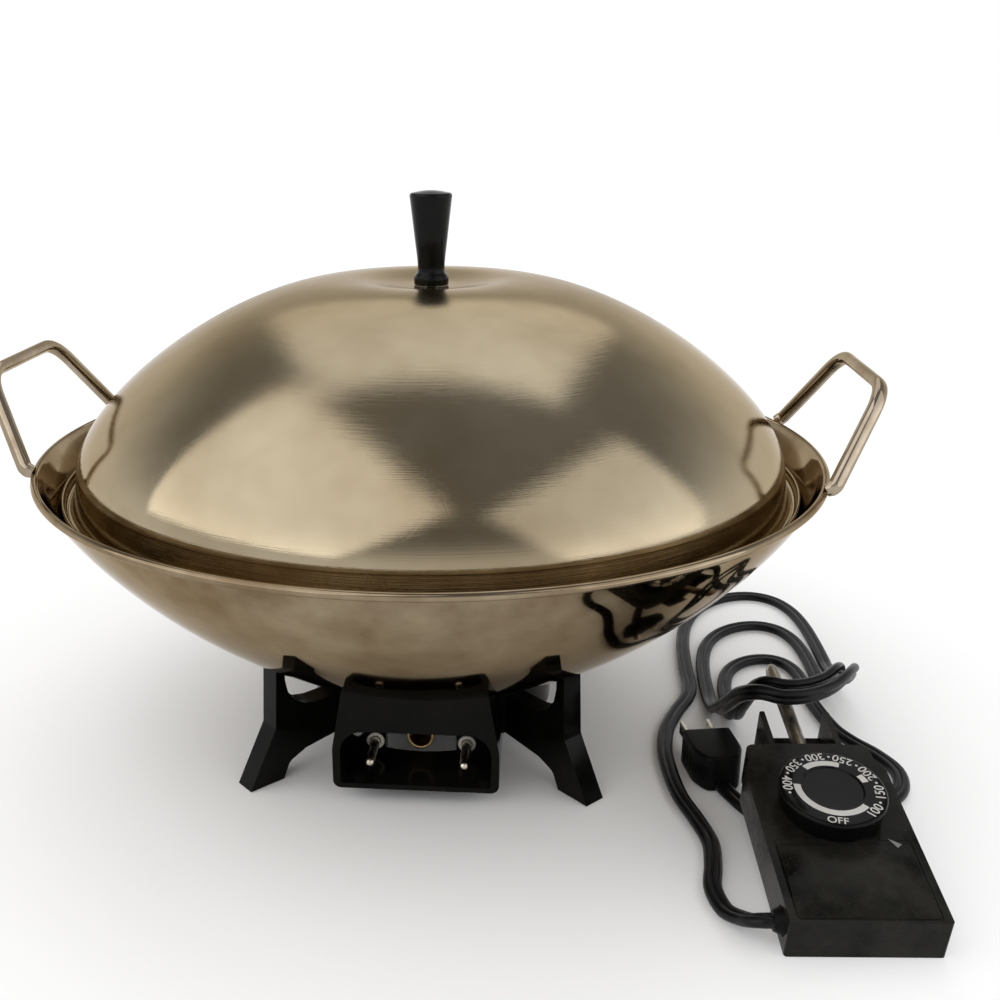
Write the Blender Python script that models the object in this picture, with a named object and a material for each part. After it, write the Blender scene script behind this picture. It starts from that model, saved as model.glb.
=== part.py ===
"""Electric wok with a lift-off domed lid and a removable probe heat control on a mains cord.

Metres, +Z up. The origin is on the table under the axis of the pan, and the
connector housing faces -Y. The control lies on the table in front of the pan,
at +X, with its cord wound loosely over its nose.
"""

import math

import bmesh
import bpy
from mathutils import Matrix, Vector

# Fits and facets
TOUCH_GAP = 0.0003
CUT_OVERRUN = 0.004
WELD_DISTANCE = 0.000001
LARGE_STEPS = 56
MIDDLE_STEPS = 28
SMALL_STEPS = 16
ARC_STEPS = 4
PAN_STEPS = 10
DISH_STEPS = 3
DOME_STEPS = 9

# Pan: spun stainless bowl with a rolled bead round its rim
RIM_RADIUS = 0.178
PAN_HEIGHT = 0.1392
PAN_BASE_RADIUS = 0.030
PAN_BASE_HEIGHT = 0.035
PAN_WALL = 0.0012
RIM_BEAD_RADIUS = 0.0017
PAN_CURVE_SHARES = ((0.377, 0.0), (0.856, 0.592))

# Handles: one bent rod on each side, welded to the bead by its two ends
HANDLE_ROD_RADIUS = 0.0028
HANDLE_STAND_OUT = 0.0145
HANDLE_RISE = 0.0380
HANDLE_CORNER_HALF_SPAN = 0.0356
HANDLE_END_HALF_SPAN = 0.0563
HANDLE_CORNER_BEND = 0.012
HANDLE_END_STAND_OUT = 0.0020

# Lid: a dome whose rolled gutter nests inside the rim of the pan
LID_SHEET = 0.0010
LID_RIDGE_HEIGHT = 0.216
LID_RIDGE_RADIUS = 0.038
LID_DISH_DEPTH = 0.003
LID_SHOULDER_HEIGHT = 0.137
LID_BAND_FLARE = 0.0018
LID_GUTTER_HEIGHT = 0.1256
LID_GUTTER_RADIUS = 0.0031
LID_LIP_RISE = 0.0026
LID_DOME_SHARES = ((0.422, 0.0), (1.0, 0.671))

# Knob of the lid, its screw and washer
KNOB_HEIGHT = 0.0395
KNOB_TOP_RADIUS = 0.0094
KNOB_NECK_RADIUS = 0.0060
KNOB_FOOT_RADIUS = 0.0077
KNOB_CROWN = 0.0012
KNOB_OUTLINE_SHARES = (
    ("foot", 1.0, 0.0),
    ("foot", 1.0, 0.075),
    ("foot", 0.93, 0.105),
    ("neck", 1.02, 0.135),
    ("neck", 1.0, 0.19),
    ("neck", 1.06, 0.30),
    ("top", 0.77, 0.50),
    ("top", 0.875, 0.72),
    ("top", 0.975, 0.925),
    ("top", 1.0, 0.965),
    ("top", 0.985, 0.985),
    ("top", 0.93, 1.0),
)
KNOB_SCREW_RADIUS = 0.0020
KNOB_SCREW_BITE = 0.018
KNOB_SCREW_HEAD_RADIUS = 0.0045
KNOB_SCREW_HEAD_HEIGHT = 0.0022
KNOB_WASHER_RADIUS = 0.0075
KNOB_WASHER_THICKNESS = 0.0008

# Heat plate and sheathed element under the pan
HEAT_PLATE_RADIUS = 0.050
HEAT_PLATE_UNDERSIDE = 0.0278
ELEMENT_RADIUS = 0.0033
ELEMENT_RING_RADIUS = 0.038
ELEMENT_END_RUN = 0.008

# Terminals and probe guide, which the control plugs over and into
PIN_SPACING = 0.0413
PIN_HEIGHT = 0.0173
PIN_RADIUS = 0.00225
PIN_RECESS = 0.0045
PIN_TIP_SHARES = ((0.8, 0.4), (0.4, 0.0))
INSULATOR_RADIUS = 0.0040
INSULATOR_LENGTH = 0.0075
GUIDE_HEIGHT = 0.0215
GUIDE_RADIUS = 0.0060
GUIDE_BORE_RADIUS = 0.0047
GUIDE_STAND_OUT = 0.0025
GUIDE_END_CLEARANCE = 0.006

# Base: a hub under the pan with four splayed legs
HUB_RADIUS = 0.058
HUB_UNDERSIDE = 0.0136
BASE_WALL = 0.003
BASE_FLOOR = 0.0016
LEG_THICKNESS = 0.0105
LEG_COUNT = 4
LEG_TURN = math.radians(45)
ARM_TOP_HEIGHT = 0.0325
ARM_INNER_RADIUS = 0.0565
ARM_END_RADIUS = 0.080
ARM_END_HEIGHT = 0.0112
ARM_WINDOW_RADIUS = 0.0160
POST_INNER_RADIUS = 0.0895
POST_OUTER_RADIUS = 0.0955
POST_TOP_RADIUS = 0.0935
POST_FOOT_HEIGHT = 0.0263
FOOT_OUTER_RADIUS = 0.1100
FOOT_INNER_RADIUS = 0.0925
HUB_WINDOW_HALF_WIDTH = 0.0248

# Stud through the hub, with its washer and nut
STUD_RADIUS = 0.0030
STUD_STAND_OUT = 0.0062
STUD_WASHER_RADIUS = 0.0085
STUD_WASHER_THICKNESS = 0.0012
NUT_ACROSS_FLATS = 0.010
NUT_HEIGHT = 0.0040

# Connector housing in front of the hub
HOUSING_REACH = 0.087
HOUSING_HALF_WIDTH = 0.036
HOUSING_TOP_HALF_WIDTH = 0.0295
HOUSING_UNDERSIDE = 0.008
HOUSING_SIDE_HEIGHT = 0.027
HOUSING_TOP_HEIGHT = 0.064
HOUSING_CORNER = 0.0035
HOUSING_FLOOR = 0.0024
HOUSING_SIDE_WALL = 0.0034
MOUTH_TOP_HEIGHT = 0.0356
MOUTH_CORNER = 0.010
MOUTH_DEPTH = 0.0245
NOSE_CLEARANCE = 0.0008
HOUSING_SCREW_HALF_SPAN = 0.0285
HOUSING_SCREW_HEIGHT = 0.0225
HOUSING_SCREW_RADIUS = 0.0015
HOUSING_SCREW_HEAD_RADIUS = 0.0028
HOUSING_SCREW_HEAD_HEIGHT = 0.0018
HOUSING_SCREW_BITE = 0.0085
SCREW_BOSS_WIDTH = 0.0074
SCREW_BOSS_HEIGHT = 0.010

# Heat control, in its own frame: X across, Y from its front to its nose, Z up
CONTROL_PLACE = (0.1411, -0.1712, 0.0)
CONTROL_TURN = math.radians(3.6)
CONTROL_TILT = math.radians(10.8)
CASE_WIDTH = 0.0577
CASE_HEIGHT = 0.0175
CASE_SIDE_LENGTH = 0.0776
CASE_TAPER_LENGTH = 0.0066
CASE_LENGTH = 0.0930
CASE_REAR_HALF_WIDTH = 0.0257
CASE_WALL = 0.0018
CASE_CORNER = 0.0012
CASE_PLATE = 0.0022
NOSE_HALF_WIDTH = 0.0151
NOSE_LENGTH = 0.0215
NOSE_WALL = 0.0024
PROBE_RADIUS = 0.0031
PROBE_HEIGHT = 0.0108
PROBE_REACH = 0.0627
PROBE_INNER_LENGTH = 0.024
PROBE_TIP_SHARES = ((0.9, 0.5), (0.6, 0.15))
SOCKET_HEIGHT = 0.0066
SOCKET_RADIUS = 0.0029
SOCKET_BORE_RADIUS = 0.00245
SOCKET_LENGTH = 0.015
CASE_SCREW_INSET = 0.0072
CASE_SCREW_FRONT = 0.0210
CASE_SCREW_REAR_SHARE = 0.90
CASE_SCREW_RADIUS = 0.0011
CASE_SCREW_HEAD_RADIUS = 0.0023
CASE_SCREW_HEAD_HEIGHT = 0.0012
CASE_SCREW_BITE = 0.006
CASE_BOSS_RADIUS = 0.0032

# Panel on the control, bare
PANEL_MARGIN = 0.0034
PANEL_FRONT = 0.0020
PANEL_LENGTH = 0.035
PANEL_THICKNESS = 0.0006
PANEL_CORNER = 0.0015

# Dial, its spindle and the bush that carries it
DIAL_PLACE = 0.0568
DIAL_RADIUS = 0.0207
DIAL_BASE_RADIUS = 0.0194
DIAL_HEIGHT = 0.0092
DIAL_BEVEL = 0.0012
DIAL_CUP_RADIUS = 0.0165
DIAL_CUP_DEPTH = 0.0055
DIAL_RING_RADIUS = 0.0119
DIAL_RING_STEP = 0.0005
DIAL_STAND_OFF = 0.0008
SPINDLE_RADIUS = 0.0025
SPINDLE_BITE = 0.0060
BUSH_RADIUS = 0.0045
BUSH_FLANGE_RADIUS = 0.0065
BUSH_FLANGE = 0.0012
BUSH_STAND_OUT = 0.0028
BUSH_DROP = 0.0035

# Thermostat inside the control
BRACKET_WIDTH = 0.020
BRACKET_LENGTH = 0.042
BRACKET_THICKNESS = 0.0012
BRACKET_CLEARANCE = 0.0010
BLADE_WIDTH = 0.006
BLADE_THICKNESS = 0.0006
BLADE_LENGTH = 0.030
BLADE_GAP = 0.0022
BLADE_CONTACT_RADIUS = 0.0018
STACK_RADIUS = 0.0028
STACK_INSET = 0.0055

# Strain relief and cord
RELIEF_PLACE = 0.0085
RELIEF_HEIGHT = 0.00875
RELIEF_OUTSIDE = 0.0032
RELIEF_INSIDE = 0.0100
RELIEF_ROOT_RADIUS = 0.0052
RELIEF_TIP_RADIUS = 0.0038
RELIEF_FLANGE_RADIUS = 0.0061
RELIEF_FLANGE = 0.0022
CORD_RADIUS = 0.0027
CORD_SPACING = 0.0135
CORD_LOOP_POINTS = 24

# Hand-chosen route of the cord: x, y, and lift above lying on the table
LEAD_ROUTE = (
    (0.1285, -0.1590, 0.0032),
    (0.1230, -0.1500, 0.0),
    (0.1205, -0.1375, 0.0),
    (0.1225, -0.1235, 0.0),
    (0.1235, -0.1080, 0.0),
    (0.1200, -0.0920, 0.0),
    (0.1150, -0.0750, 0.0),
    (0.1125, -0.0560, 0.0),
    (0.1120, -0.0360, 0.0),
    (0.1150, -0.0160, 0.0),
    (0.1215, 0.0020, 0.0),
    (0.1280, 0.0160, 0.0),
)
TAIL_ROUTE = (
    (0.1950, -0.0080, 0.0),
    (0.2010, -0.0210, 0.0),
    (0.2095, -0.0330, 0.0),
    (0.2150, -0.0470, 0.0),
    (0.2125, -0.0620, 0.0),
    (0.2025, -0.0740, 0.0),
    (0.1890, -0.0820, 0.0),
    (0.1740, -0.0870, 0.0),
    (0.1590, -0.0890, 0.0),
    (0.1460, -0.0870, 0.0),
)

# Winding: loops that shrink inwards turn by turn, with their near ends over the probe
WINDING_TURNS = 2.5
WINDING_CENTRE = 0.1710
WINDING_HALF_WIDTH = 0.0400
WINDING_HALF_WIDTH_STEP = 0.0082
WINDING_NEAR = -0.0610
WINDING_NEAR_STEP = 0.0096
WINDING_FAR = 0.1600
WINDING_FAR_STEP = 0.0430
WINDING_SKEW_SHARE = 0.50
WINDING_SQUARE_SHARE = 0.09
WINDING_LIFT = 0.0405
WINDING_TOP_SHARE = 0.15
WINDING_HUMP_SHARE = 0.50

# Plug with two flat blades
PLUG_CENTRE = (0.1320, -0.0520, 0.0)
PLUG_TURN = math.radians(10)
PLUG_WIDTH = 0.0225
PLUG_LENGTH = 0.0270
PLUG_HEIGHT = 0.0170
PLUG_CORNER = 0.0035
PLUG_ENTRY_HEIGHT = 0.0040
BLADE_PRONG_WIDTH = 0.0063
BLADE_PRONG_THICKNESS = 0.0015
BLADE_PRONG_LENGTH = 0.0165
BLADE_PRONG_ROOT = 0.006
BLADE_PRONG_SPACING = 0.0127


def clear_scene():
    for item in list(bpy.data.objects):
        bpy.data.objects.remove(item, do_unlink=True)


def finish(name, colour, roughness, metallic):
    made = bpy.data.materials.new(name)
    made.use_nodes = True
    shader = made.node_tree.nodes["Principled BSDF"]
    shader.inputs["Base Color"].default_value = (*colour, 1.0)
    shader.inputs["Roughness"].default_value = roughness
    shader.inputs["Metallic"].default_value = metallic
    return made


def frame(name, place=(0.0, 0.0, 0.0), turn=(0.0, 0.0, 0.0), parent=None):
    empty = bpy.data.objects.new(name, None)
    bpy.context.scene.collection.objects.link(empty)
    empty.location = place
    empty.rotation_euler = turn
    empty.parent = parent
    return empty


def add(name, mesh, surface, place=(0.0, 0.0, 0.0), turn=(0.0, 0.0, 0.0), parent=None):
    mesh.name = name
    mesh.shade_smooth()
    mesh.set_sharp_from_angle(angle=math.radians(35))
    made = bpy.data.objects.new(name, mesh)
    bpy.context.scene.collection.objects.link(made)
    made.location = place
    made.rotation_euler = turn
    made.parent = parent
    made.data.materials.append(surface)
    return made


def combine(target, other, operation):
    """Joins or cuts with another object, which then stays as a hidden helper."""
    step = target.modifiers.new(f"{operation.lower()}_{other.name}", "BOOLEAN")
    step.operation = operation
    step.solver = "EXACT"
    step.object = other
    other.hide_render = True
    other.display_type = "WIRE"


def to_mesh(bm, name):
    bmesh.ops.recalc_face_normals(bm, faces=bm.faces)
    mesh = bpy.data.meshes.new(name)
    bm.to_mesh(mesh)
    bm.free()
    return mesh


def turned(name, profile, steps=SMALL_STEPS):
    """Turns a profile of (radius, height) points about Z. It ends on the axis or closes on itself."""
    bm = bmesh.new()
    points = [bm.verts.new((radius, 0.0, height)) for radius, height in profile]
    pairs = list(zip(points, points[1:]))
    if profile[0][0] > 0.0:
        pairs.append((points[-1], points[0]))
    edges = [bm.edges.new(pair) for pair in pairs]
    bmesh.ops.spin(
        bm,
        geom=points + edges,
        cent=(0.0, 0.0, 0.0),
        axis=(0.0, 0.0, 1.0),
        angle=math.tau,
        steps=steps,
        use_merge=True,
    )
    bmesh.ops.remove_doubles(bm, verts=bm.verts, dist=WELD_DISTANCE)
    return to_mesh(bm, name)


def rod(name, radius, low, high, steps=SMALL_STEPS):
    return turned(name, ((0.0, low), (radius, low), (radius, high), (0.0, high)), steps)


def sleeve(name, radius, bore, low, high, steps=SMALL_STEPS):
    profile = ((bore, low), (radius, low), (radius, high), (bore, high))
    return turned(name, profile, steps)


def prism(name, outline, low, high):
    """Raises an outline in X and Y from low to high."""
    bm = bmesh.new()
    face = bm.faces.new([bm.verts.new((x, y, low)) for x, y in outline])
    raised = bmesh.ops.extrude_face_region(bm, geom=[face])
    for vert in [item for item in raised["geom"] if isinstance(item, bmesh.types.BMVert)]:
        vert.co.z = high
    return to_mesh(bm, name)


def block(name, low, high):
    outline = ((low[0], low[1]), (high[0], low[1]), (high[0], high[1]), (low[0], high[1]))
    return prism(name, outline, low[2], high[2])


def corner_arc(before, corner, after, radius):
    """Points of the arc that rounds one corner of an outline or a path."""
    corner = Vector(corner)
    first = (Vector(before) - corner).normalized()
    second = (Vector(after) - corner).normalized()
    half = first.angle(second) / 2
    reach = radius / math.tan(half)
    middle = corner + (first + second).normalized() * (radius / math.sin(half))
    start = corner + first * reach - middle
    end = corner + second * reach - middle
    sweep = start.angle(end)
    points = []
    for step in range(ARC_STEPS + 1):
        share = step / ARC_STEPS
        mixed = start * math.sin((1 - share) * sweep) + end * math.sin(share * sweep)
        points.append(middle + mixed / math.sin(sweep))
    return points


def rounded(outline, radii):
    """An outline with each corner rounded by its own radius, zero for a sharp one."""
    count = len(outline)
    points = []
    for index, radius in enumerate(radii):
        corner = outline[index]
        if radius > 0.0:
            after = outline[(index + 1) % count]
            arc = corner_arc((*outline[index - 1], 0.0), (*corner, 0.0), (*after, 0.0), radius)
            points.extend((point.x, point.y) for point in arc)
        else:
            points.append(tuple(corner))
    return points


def bezier(start, first, second, end, share):
    rest = 1 - share
    weights = (rest**3, 3 * rest * rest * share, 3 * rest * share * share, share**3)
    return tuple(
        sum(weight * point[axis] for weight, point in zip(weights, (start, first, second, end)))
        for axis in range(2)
    )


def right_of(points, distance):
    """The line that runs beside a line of points at a distance, on its right-hand side."""
    moved = []
    for index, (x, y) in enumerate(points):
        before = Vector(points[max(index - 1, 0)])
        after = Vector(points[min(index + 1, len(points) - 1)])
        here = Vector((x, y))
        into = (here - before).normalized() if index else (after - here).normalized()
        out = (after - here).normalized() if index < len(points) - 1 else into
        along = (into + out).normalized()
        spread = max(along.dot(into), 0.3)
        moved.append((x + along.y * distance / spread, y - along.x * distance / spread))
    return moved


def pan_bead():
    return RIM_RADIUS - RIM_BEAD_RADIUS, PAN_HEIGHT - RIM_BEAD_RADIUS


def pan_curve():
    """The four control points of the pan's outer face, from its flat bottom to its bead."""
    end_radius, end_height = pan_bead()
    spans = (end_radius - PAN_BASE_RADIUS, end_height - PAN_BASE_HEIGHT)
    start = (PAN_BASE_RADIUS, PAN_BASE_HEIGHT)
    handles = [
        (start[0] + spans[0] * across, start[1] + spans[1] * up) for across, up in PAN_CURVE_SHARES
    ]
    along = (Vector((end_radius, end_height)) - Vector(handles[1])).normalized()
    inset = RIM_BEAD_RADIUS - PAN_WALL
    end = (end_radius - along.y * inset, end_height + along.x * inset)
    return start, handles[0], handles[1], end, along


def pan_face(share, outwards):
    """A point on the pan's outer face, moved outwards along the face's normal."""
    start, first, second, end, _ = pan_curve()
    here = Vector(bezier(start, first, second, end, share))
    step = 0.001
    ahead = Vector(bezier(start, first, second, end, min(share + step, 1.0)))
    behind = Vector(bezier(start, first, second, end, max(share - step, 0.0)))
    along = (ahead - behind).normalized()
    return here.x + along.y * outwards, here.y - along.x * outwards


def pan_share_at_height(height, outwards):
    low, high = 0.0, 1.0
    for _ in range(40):
        middle = (low + high) / 2
        if pan_face(middle, outwards)[1] < height:
            low = middle
        else:
            high = middle
    return low


def pan_height_at_radius(radius, outwards):
    low, high = 0.0, 1.0
    for _ in range(40):
        middle = (low + high) / 2
        if pan_face(middle, outwards)[0] < radius:
            low = middle
        else:
            high = middle
    return pan_face(low, outwards)[1]


def pan_shares():
    return [step / PAN_STEPS for step in range(PAN_STEPS + 1)]


def pan_profile():
    centre = Vector(pan_bead())
    along = pan_curve()[4]
    out = Vector((along.y, -along.x))
    shares = pan_shares()
    outer = [(0.0, PAN_BASE_HEIGHT)] + [pan_face(share, 0.0) for share in shares[:-1]]
    inner = [pan_face(share, -PAN_WALL) for share in reversed(shares)]
    inset = RIM_BEAD_RADIUS - PAN_WALL
    begin = -math.pi / 2 - math.asin(inset / RIM_BEAD_RADIUS)
    bead = []
    steps = 2 * ARC_STEPS
    for step in range(steps):
        angle = begin + (math.pi - begin) * step / steps
        bead.append(tuple(centre + (out * math.cos(angle) + along * math.sin(angle)) * RIM_BEAD_RADIUS))
    return outer + bead + inner + [(0.0, PAN_BASE_HEIGHT + PAN_WALL)]


def pan_cutter(name):
    """The space of the pan with its touching gap, which the base and housing keep clear of."""
    face = [pan_face(share, TOUCH_GAP) for share in pan_shares()]
    top = PAN_HEIGHT + CUT_OVERRUN
    profile = [(0.0, PAN_BASE_HEIGHT - TOUCH_GAP), *face, (face[-1][0], top), (0.0, top)]
    return add(name, turned(name, profile, LARGE_STEPS), STEEL)


def build_pan():
    add("wok_pan", turned("wok_pan", pan_profile(), LARGE_STEPS), STEEL)


def bent_path(corners, bends):
    """A path of straight runs whose inner corners are rounded."""
    path = [Vector(corners[0])]
    for index in range(1, len(corners) - 1):
        before, here, after = corners[index - 1], corners[index], corners[index + 1]
        path.extend(corner_arc(before, here, after, bends[index - 1]))
    path.append(Vector(corners[-1]))
    return path


def tube(name, path, radius, surface, sides_setting=2, parent=None):
    """A tube of one radius along a line of points, closed at both ends."""
    data = bpy.data.curves.new(name, "CURVE")
    data.dimensions = "3D"
    data.bevel_depth = radius
    data.bevel_resolution = sides_setting
    data.use_fill_caps = True
    line = data.splines.new("POLY")
    line.points.add(len(path) - 1)
    for point, place in zip(line.points, path):
        point.co = (*place, 1.0)
    made = bpy.data.objects.new(name, data)
    bpy.context.scene.collection.objects.link(made)
    made.parent = parent
    data.materials.append(surface)
    return made


def build_handles():
    end_radius = RIM_RADIUS + HANDLE_END_STAND_OUT
    aside = math.asin(HANDLE_END_HALF_SPAN / end_radius)
    end = (end_radius * math.cos(aside), HANDLE_END_HALF_SPAN, PAN_HEIGHT)
    corner = (RIM_RADIUS + HANDLE_STAND_OUT, HANDLE_CORNER_HALF_SPAN, PAN_HEIGHT + HANDLE_RISE)
    bends = (HANDLE_CORNER_BEND, HANDLE_CORNER_BEND)
    for name, side in (("handle_right", 1), ("handle_left", -1)):
        corners = []
        for x, y, z in (end, corner):
            corners.append((side * x, y, z))
        corners += [(x, -y, z) for x, y, z in reversed(corners)]
        tube(name, bent_path(corners, bends), HANDLE_ROD_RADIUS, STEEL)


def lid_gutter_centre():
    """Where the rolled gutter's centre lies, so that the roll just clears the pan's inner wall."""
    inwards = PAN_WALL + TOUCH_GAP + LID_GUTTER_RADIUS
    share = pan_share_at_height(LID_GUTTER_HEIGHT, -inwards)
    return pan_face(share, -inwards)


def lid_dish_height():
    return LID_RIDGE_HEIGHT - LID_DISH_DEPTH


def lid_top_face():
    """The lid's upper face, from the hole for its screw to the lip of its gutter."""
    bore = KNOB_SCREW_RADIUS + TOUCH_GAP
    seat = KNOB_FOOT_RADIUS + KNOB_CROWN
    line = [(bore, lid_dish_height()), (seat, lid_dish_height())]
    for step in range(1, DISH_STEPS + 1):
        share = step / DISH_STEPS
        wave = (1 - math.cos(math.pi * share)) / 2
        radius = seat + (LID_RIDGE_RADIUS - seat) * share
        line.append((radius, lid_dish_height() + LID_DISH_DEPTH * wave))
    centre_radius, centre_height = lid_gutter_centre()
    inside = LID_GUTTER_RADIUS - LID_SHEET
    band = centre_radius - inside
    shoulder = band - LID_BAND_FLARE
    spans = (shoulder - LID_RIDGE_RADIUS, LID_RIDGE_HEIGHT - LID_SHOULDER_HEIGHT)
    start = (LID_RIDGE_RADIUS, LID_RIDGE_HEIGHT)
    handles = [
        (start[0] + spans[0] * across, start[1] - spans[1] * down) for across, down in LID_DOME_SHARES
    ]
    end = (shoulder, LID_SHOULDER_HEIGHT)
    for step in range(1, DOME_STEPS + 1):
        line.append(bezier(start, handles[0], handles[1], end, step / DOME_STEPS))
    steps = ARC_STEPS + 2
    for step in range(steps + 1):
        angle = math.pi + math.pi * step / steps
        line.append((centre_radius + inside * math.cos(angle), centre_height + inside * math.sin(angle)))
    line.append((centre_radius + inside, centre_height + LID_LIP_RISE))
    return line


def build_lid(lid):
    """The parts of the lid are made in the frame of the whole object and carried by one empty."""
    over = lid_top_face()
    under = right_of(over, LID_SHEET)
    add("lid_dome", turned("lid_dome", over + under[::-1], LARGE_STEPS), STEEL, parent=lid)

    foot = lid_dish_height() + TOUCH_GAP
    radii = {"foot": KNOB_FOOT_RADIUS, "neck": KNOB_NECK_RADIUS, "top": KNOB_TOP_RADIUS}
    bore = KNOB_SCREW_RADIUS + TOUCH_GAP
    bore_top = foot + KNOB_SCREW_BITE + TOUCH_GAP
    outline = [
        (radii[which] * across, foot + KNOB_HEIGHT * up) for which, across, up in KNOB_OUTLINE_SHARES
    ]
    profile = [(0.0, bore_top), (bore, bore_top), (bore, foot), *outline]
    profile.append((0.0, foot + KNOB_HEIGHT + KNOB_CROWN))
    add("lid_knob", turned("lid_knob", profile, MIDDLE_STEPS), PHENOLIC, parent=lid)

    washer_top = lid_dish_height() - LID_SHEET - TOUCH_GAP
    washer_low = washer_top - KNOB_WASHER_THICKNESS
    washer = sleeve("knob_washer", KNOB_WASHER_RADIUS, bore, washer_low, washer_top)
    add("knob_washer", washer, STEEL, parent=lid)

    seat = washer_low - TOUCH_GAP
    low = seat - KNOB_SCREW_HEAD_HEIGHT
    head = KNOB_SCREW_HEAD_RADIUS
    crown = KNOB_SCREW_HEAD_HEIGHT / 2
    profile = (
        (0.0, low),
        (head - crown, low),
        (head, low + crown),
        (head, seat),
        (KNOB_SCREW_RADIUS, seat),
        (KNOB_SCREW_RADIUS, foot + KNOB_SCREW_BITE),
        (0.0, foot + KNOB_SCREW_BITE),
    )
    add("knob_screw", turned("knob_screw", profile), ZINC, parent=lid)


def build_heat_plate():
    shares = [share / 4 for share in range(5)]
    radii = [PAN_BASE_RADIUS + (HEAT_PLATE_RADIUS - PAN_BASE_RADIUS) * share for share in shares]
    face = [(radius, pan_height_at_radius(radius, TOUCH_GAP)) for radius in radii]
    low = HEAT_PLATE_UNDERSIDE
    flat = PAN_BASE_HEIGHT - TOUCH_GAP
    profile = [(0.0, low), (HEAT_PLATE_RADIUS, low), *face[::-1], (0.0, flat)]
    profile[-2] = (PAN_BASE_RADIUS, flat)
    add("heat_plate", turned("heat_plate", profile, LARGE_STEPS), ALUMINIUM)


def mouth_floor_y():
    """Where the back wall of the connector's mouth faces the opening."""
    return -HOUSING_REACH + MOUTH_DEPTH


def insulator_rear_y():
    return mouth_floor_y() + INSULATOR_LENGTH


def element_path():
    """A ring under the heat plate, open at the front, whose ends drop to the height of the pins."""
    half = PIN_SPACING / 2
    ring_height = HEAT_PLATE_UNDERSIDE - TOUCH_GAP - ELEMENT_RADIUS
    front = insulator_rear_y() + TOUCH_GAP
    opening = math.asin(half / ELEMENT_RING_RADIUS)
    steps = 26
    ring = []
    for step in range(steps + 1):
        angle = -math.pi / 2 + opening + (math.tau - 2 * opening) * step / steps
        ring.append(
            Vector((
                ELEMENT_RING_RADIUS * math.cos(angle),
                ELEMENT_RING_RADIUS * math.sin(angle),
                ring_height,
            ))
        )
    straight = front + ELEMENT_END_RUN
    ends = []
    drop = 5
    for step in range(drop + 1):
        share = step / (drop + 1)
        wave = (1 + math.cos(math.pi * share)) / 2
        length = ring[0].y - straight
        height = ring_height + (PIN_HEIGHT - ring_height) * wave
        ends.append(Vector((half, straight + length * share, height)))
    right = [Vector((half, front, PIN_HEIGHT)), *ends]
    left = [Vector((-point.x, point.y, point.z)) for point in reversed(right)]
    return right + ring + left


def build_element():
    tube("heating_element", element_path(), ELEMENT_RADIUS, ELEMENT_GREY)


def build_terminals():
    """Pins stand in ceramic bushes. Their axes lie along Y."""
    along_y = (math.radians(90), 0.0, 0.0)
    tip = -HOUSING_REACH + PIN_RECESS
    rear = insulator_rear_y()
    bore = PIN_RADIUS + TOUCH_GAP
    for side, name in ((1, "right"), (-1, "left")):
        x = side * PIN_SPACING / 2
        length = rear - tip
        dome = PIN_RADIUS / 2
        profile = (
            (0.0, 0.0),
            (PIN_RADIUS, 0.0),
            (PIN_RADIUS, length - dome),
            *((PIN_RADIUS * wide, length - dome * deep) for wide, deep in PIN_TIP_SHARES),
            (0.0, length),
        )
        pin = turned(f"terminal_pin_{name}", profile)
        add(f"terminal_pin_{name}", pin, NICKEL, (x, rear, PIN_HEIGHT), along_y)
        bush = sleeve(f"pin_insulator_{name}", INSULATOR_RADIUS, bore, 0.0, INSULATOR_LENGTH)
        add(f"pin_insulator_{name}", bush, CERAMIC, (x, rear, PIN_HEIGHT), along_y)


def guide_length():
    return HOUSING_REACH - MOUTH_DEPTH + GUIDE_STAND_OUT - GUIDE_END_CLEARANCE


def build_probe_guide():
    """A brass tube, closed at its inner end, that takes the probe of the control."""
    length = guide_length()
    wall = GUIDE_RADIUS - GUIDE_BORE_RADIUS
    profile = (
        (0.0, 0.0),
        (GUIDE_RADIUS, 0.0),
        (GUIDE_RADIUS, length),
        (GUIDE_BORE_RADIUS, length),
        (GUIDE_BORE_RADIUS, wall),
        (0.0, wall),
    )
    place = (0.0, -GUIDE_END_CLEARANCE, GUIDE_HEIGHT)
    mesh = turned("probe_guide_tube", profile)
    add("probe_guide_tube", mesh, BRASS, place, (math.radians(90), 0.0, 0.0))


def leg_outline():
    """One leg in its own plane: distance from the axis, and height."""
    top = pan_height_at_radius(POST_OUTER_RADIUS, 0.0) + CUT_OVERRUN
    outline = (
        (ARM_INNER_RADIUS, HUB_UNDERSIDE + BASE_FLOOR / 4),
        (ARM_END_RADIUS, ARM_END_HEIGHT),
        (FOOT_INNER_RADIUS - LEG_THICKNESS / 3, ARM_END_HEIGHT * 2 / 3),
        (FOOT_INNER_RADIUS, 0.0),
        (FOOT_OUTER_RADIUS, 0.0),
        (POST_OUTER_RADIUS, POST_FOOT_HEIGHT),
        (POST_TOP_RADIUS, top),
        (POST_INNER_RADIUS, top),
        (POST_INNER_RADIUS, ARM_TOP_HEIGHT),
        (ARM_INNER_RADIUS, ARM_TOP_HEIGHT),
    )
    soft = LEG_THICKNESS / 2
    radii = (0.0, 0.0, soft, 0.0, 0.0, soft / 2, 0.0, 0.0, ARM_WINDOW_RADIUS, 0.0)
    return rounded(outline, radii)


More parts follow.
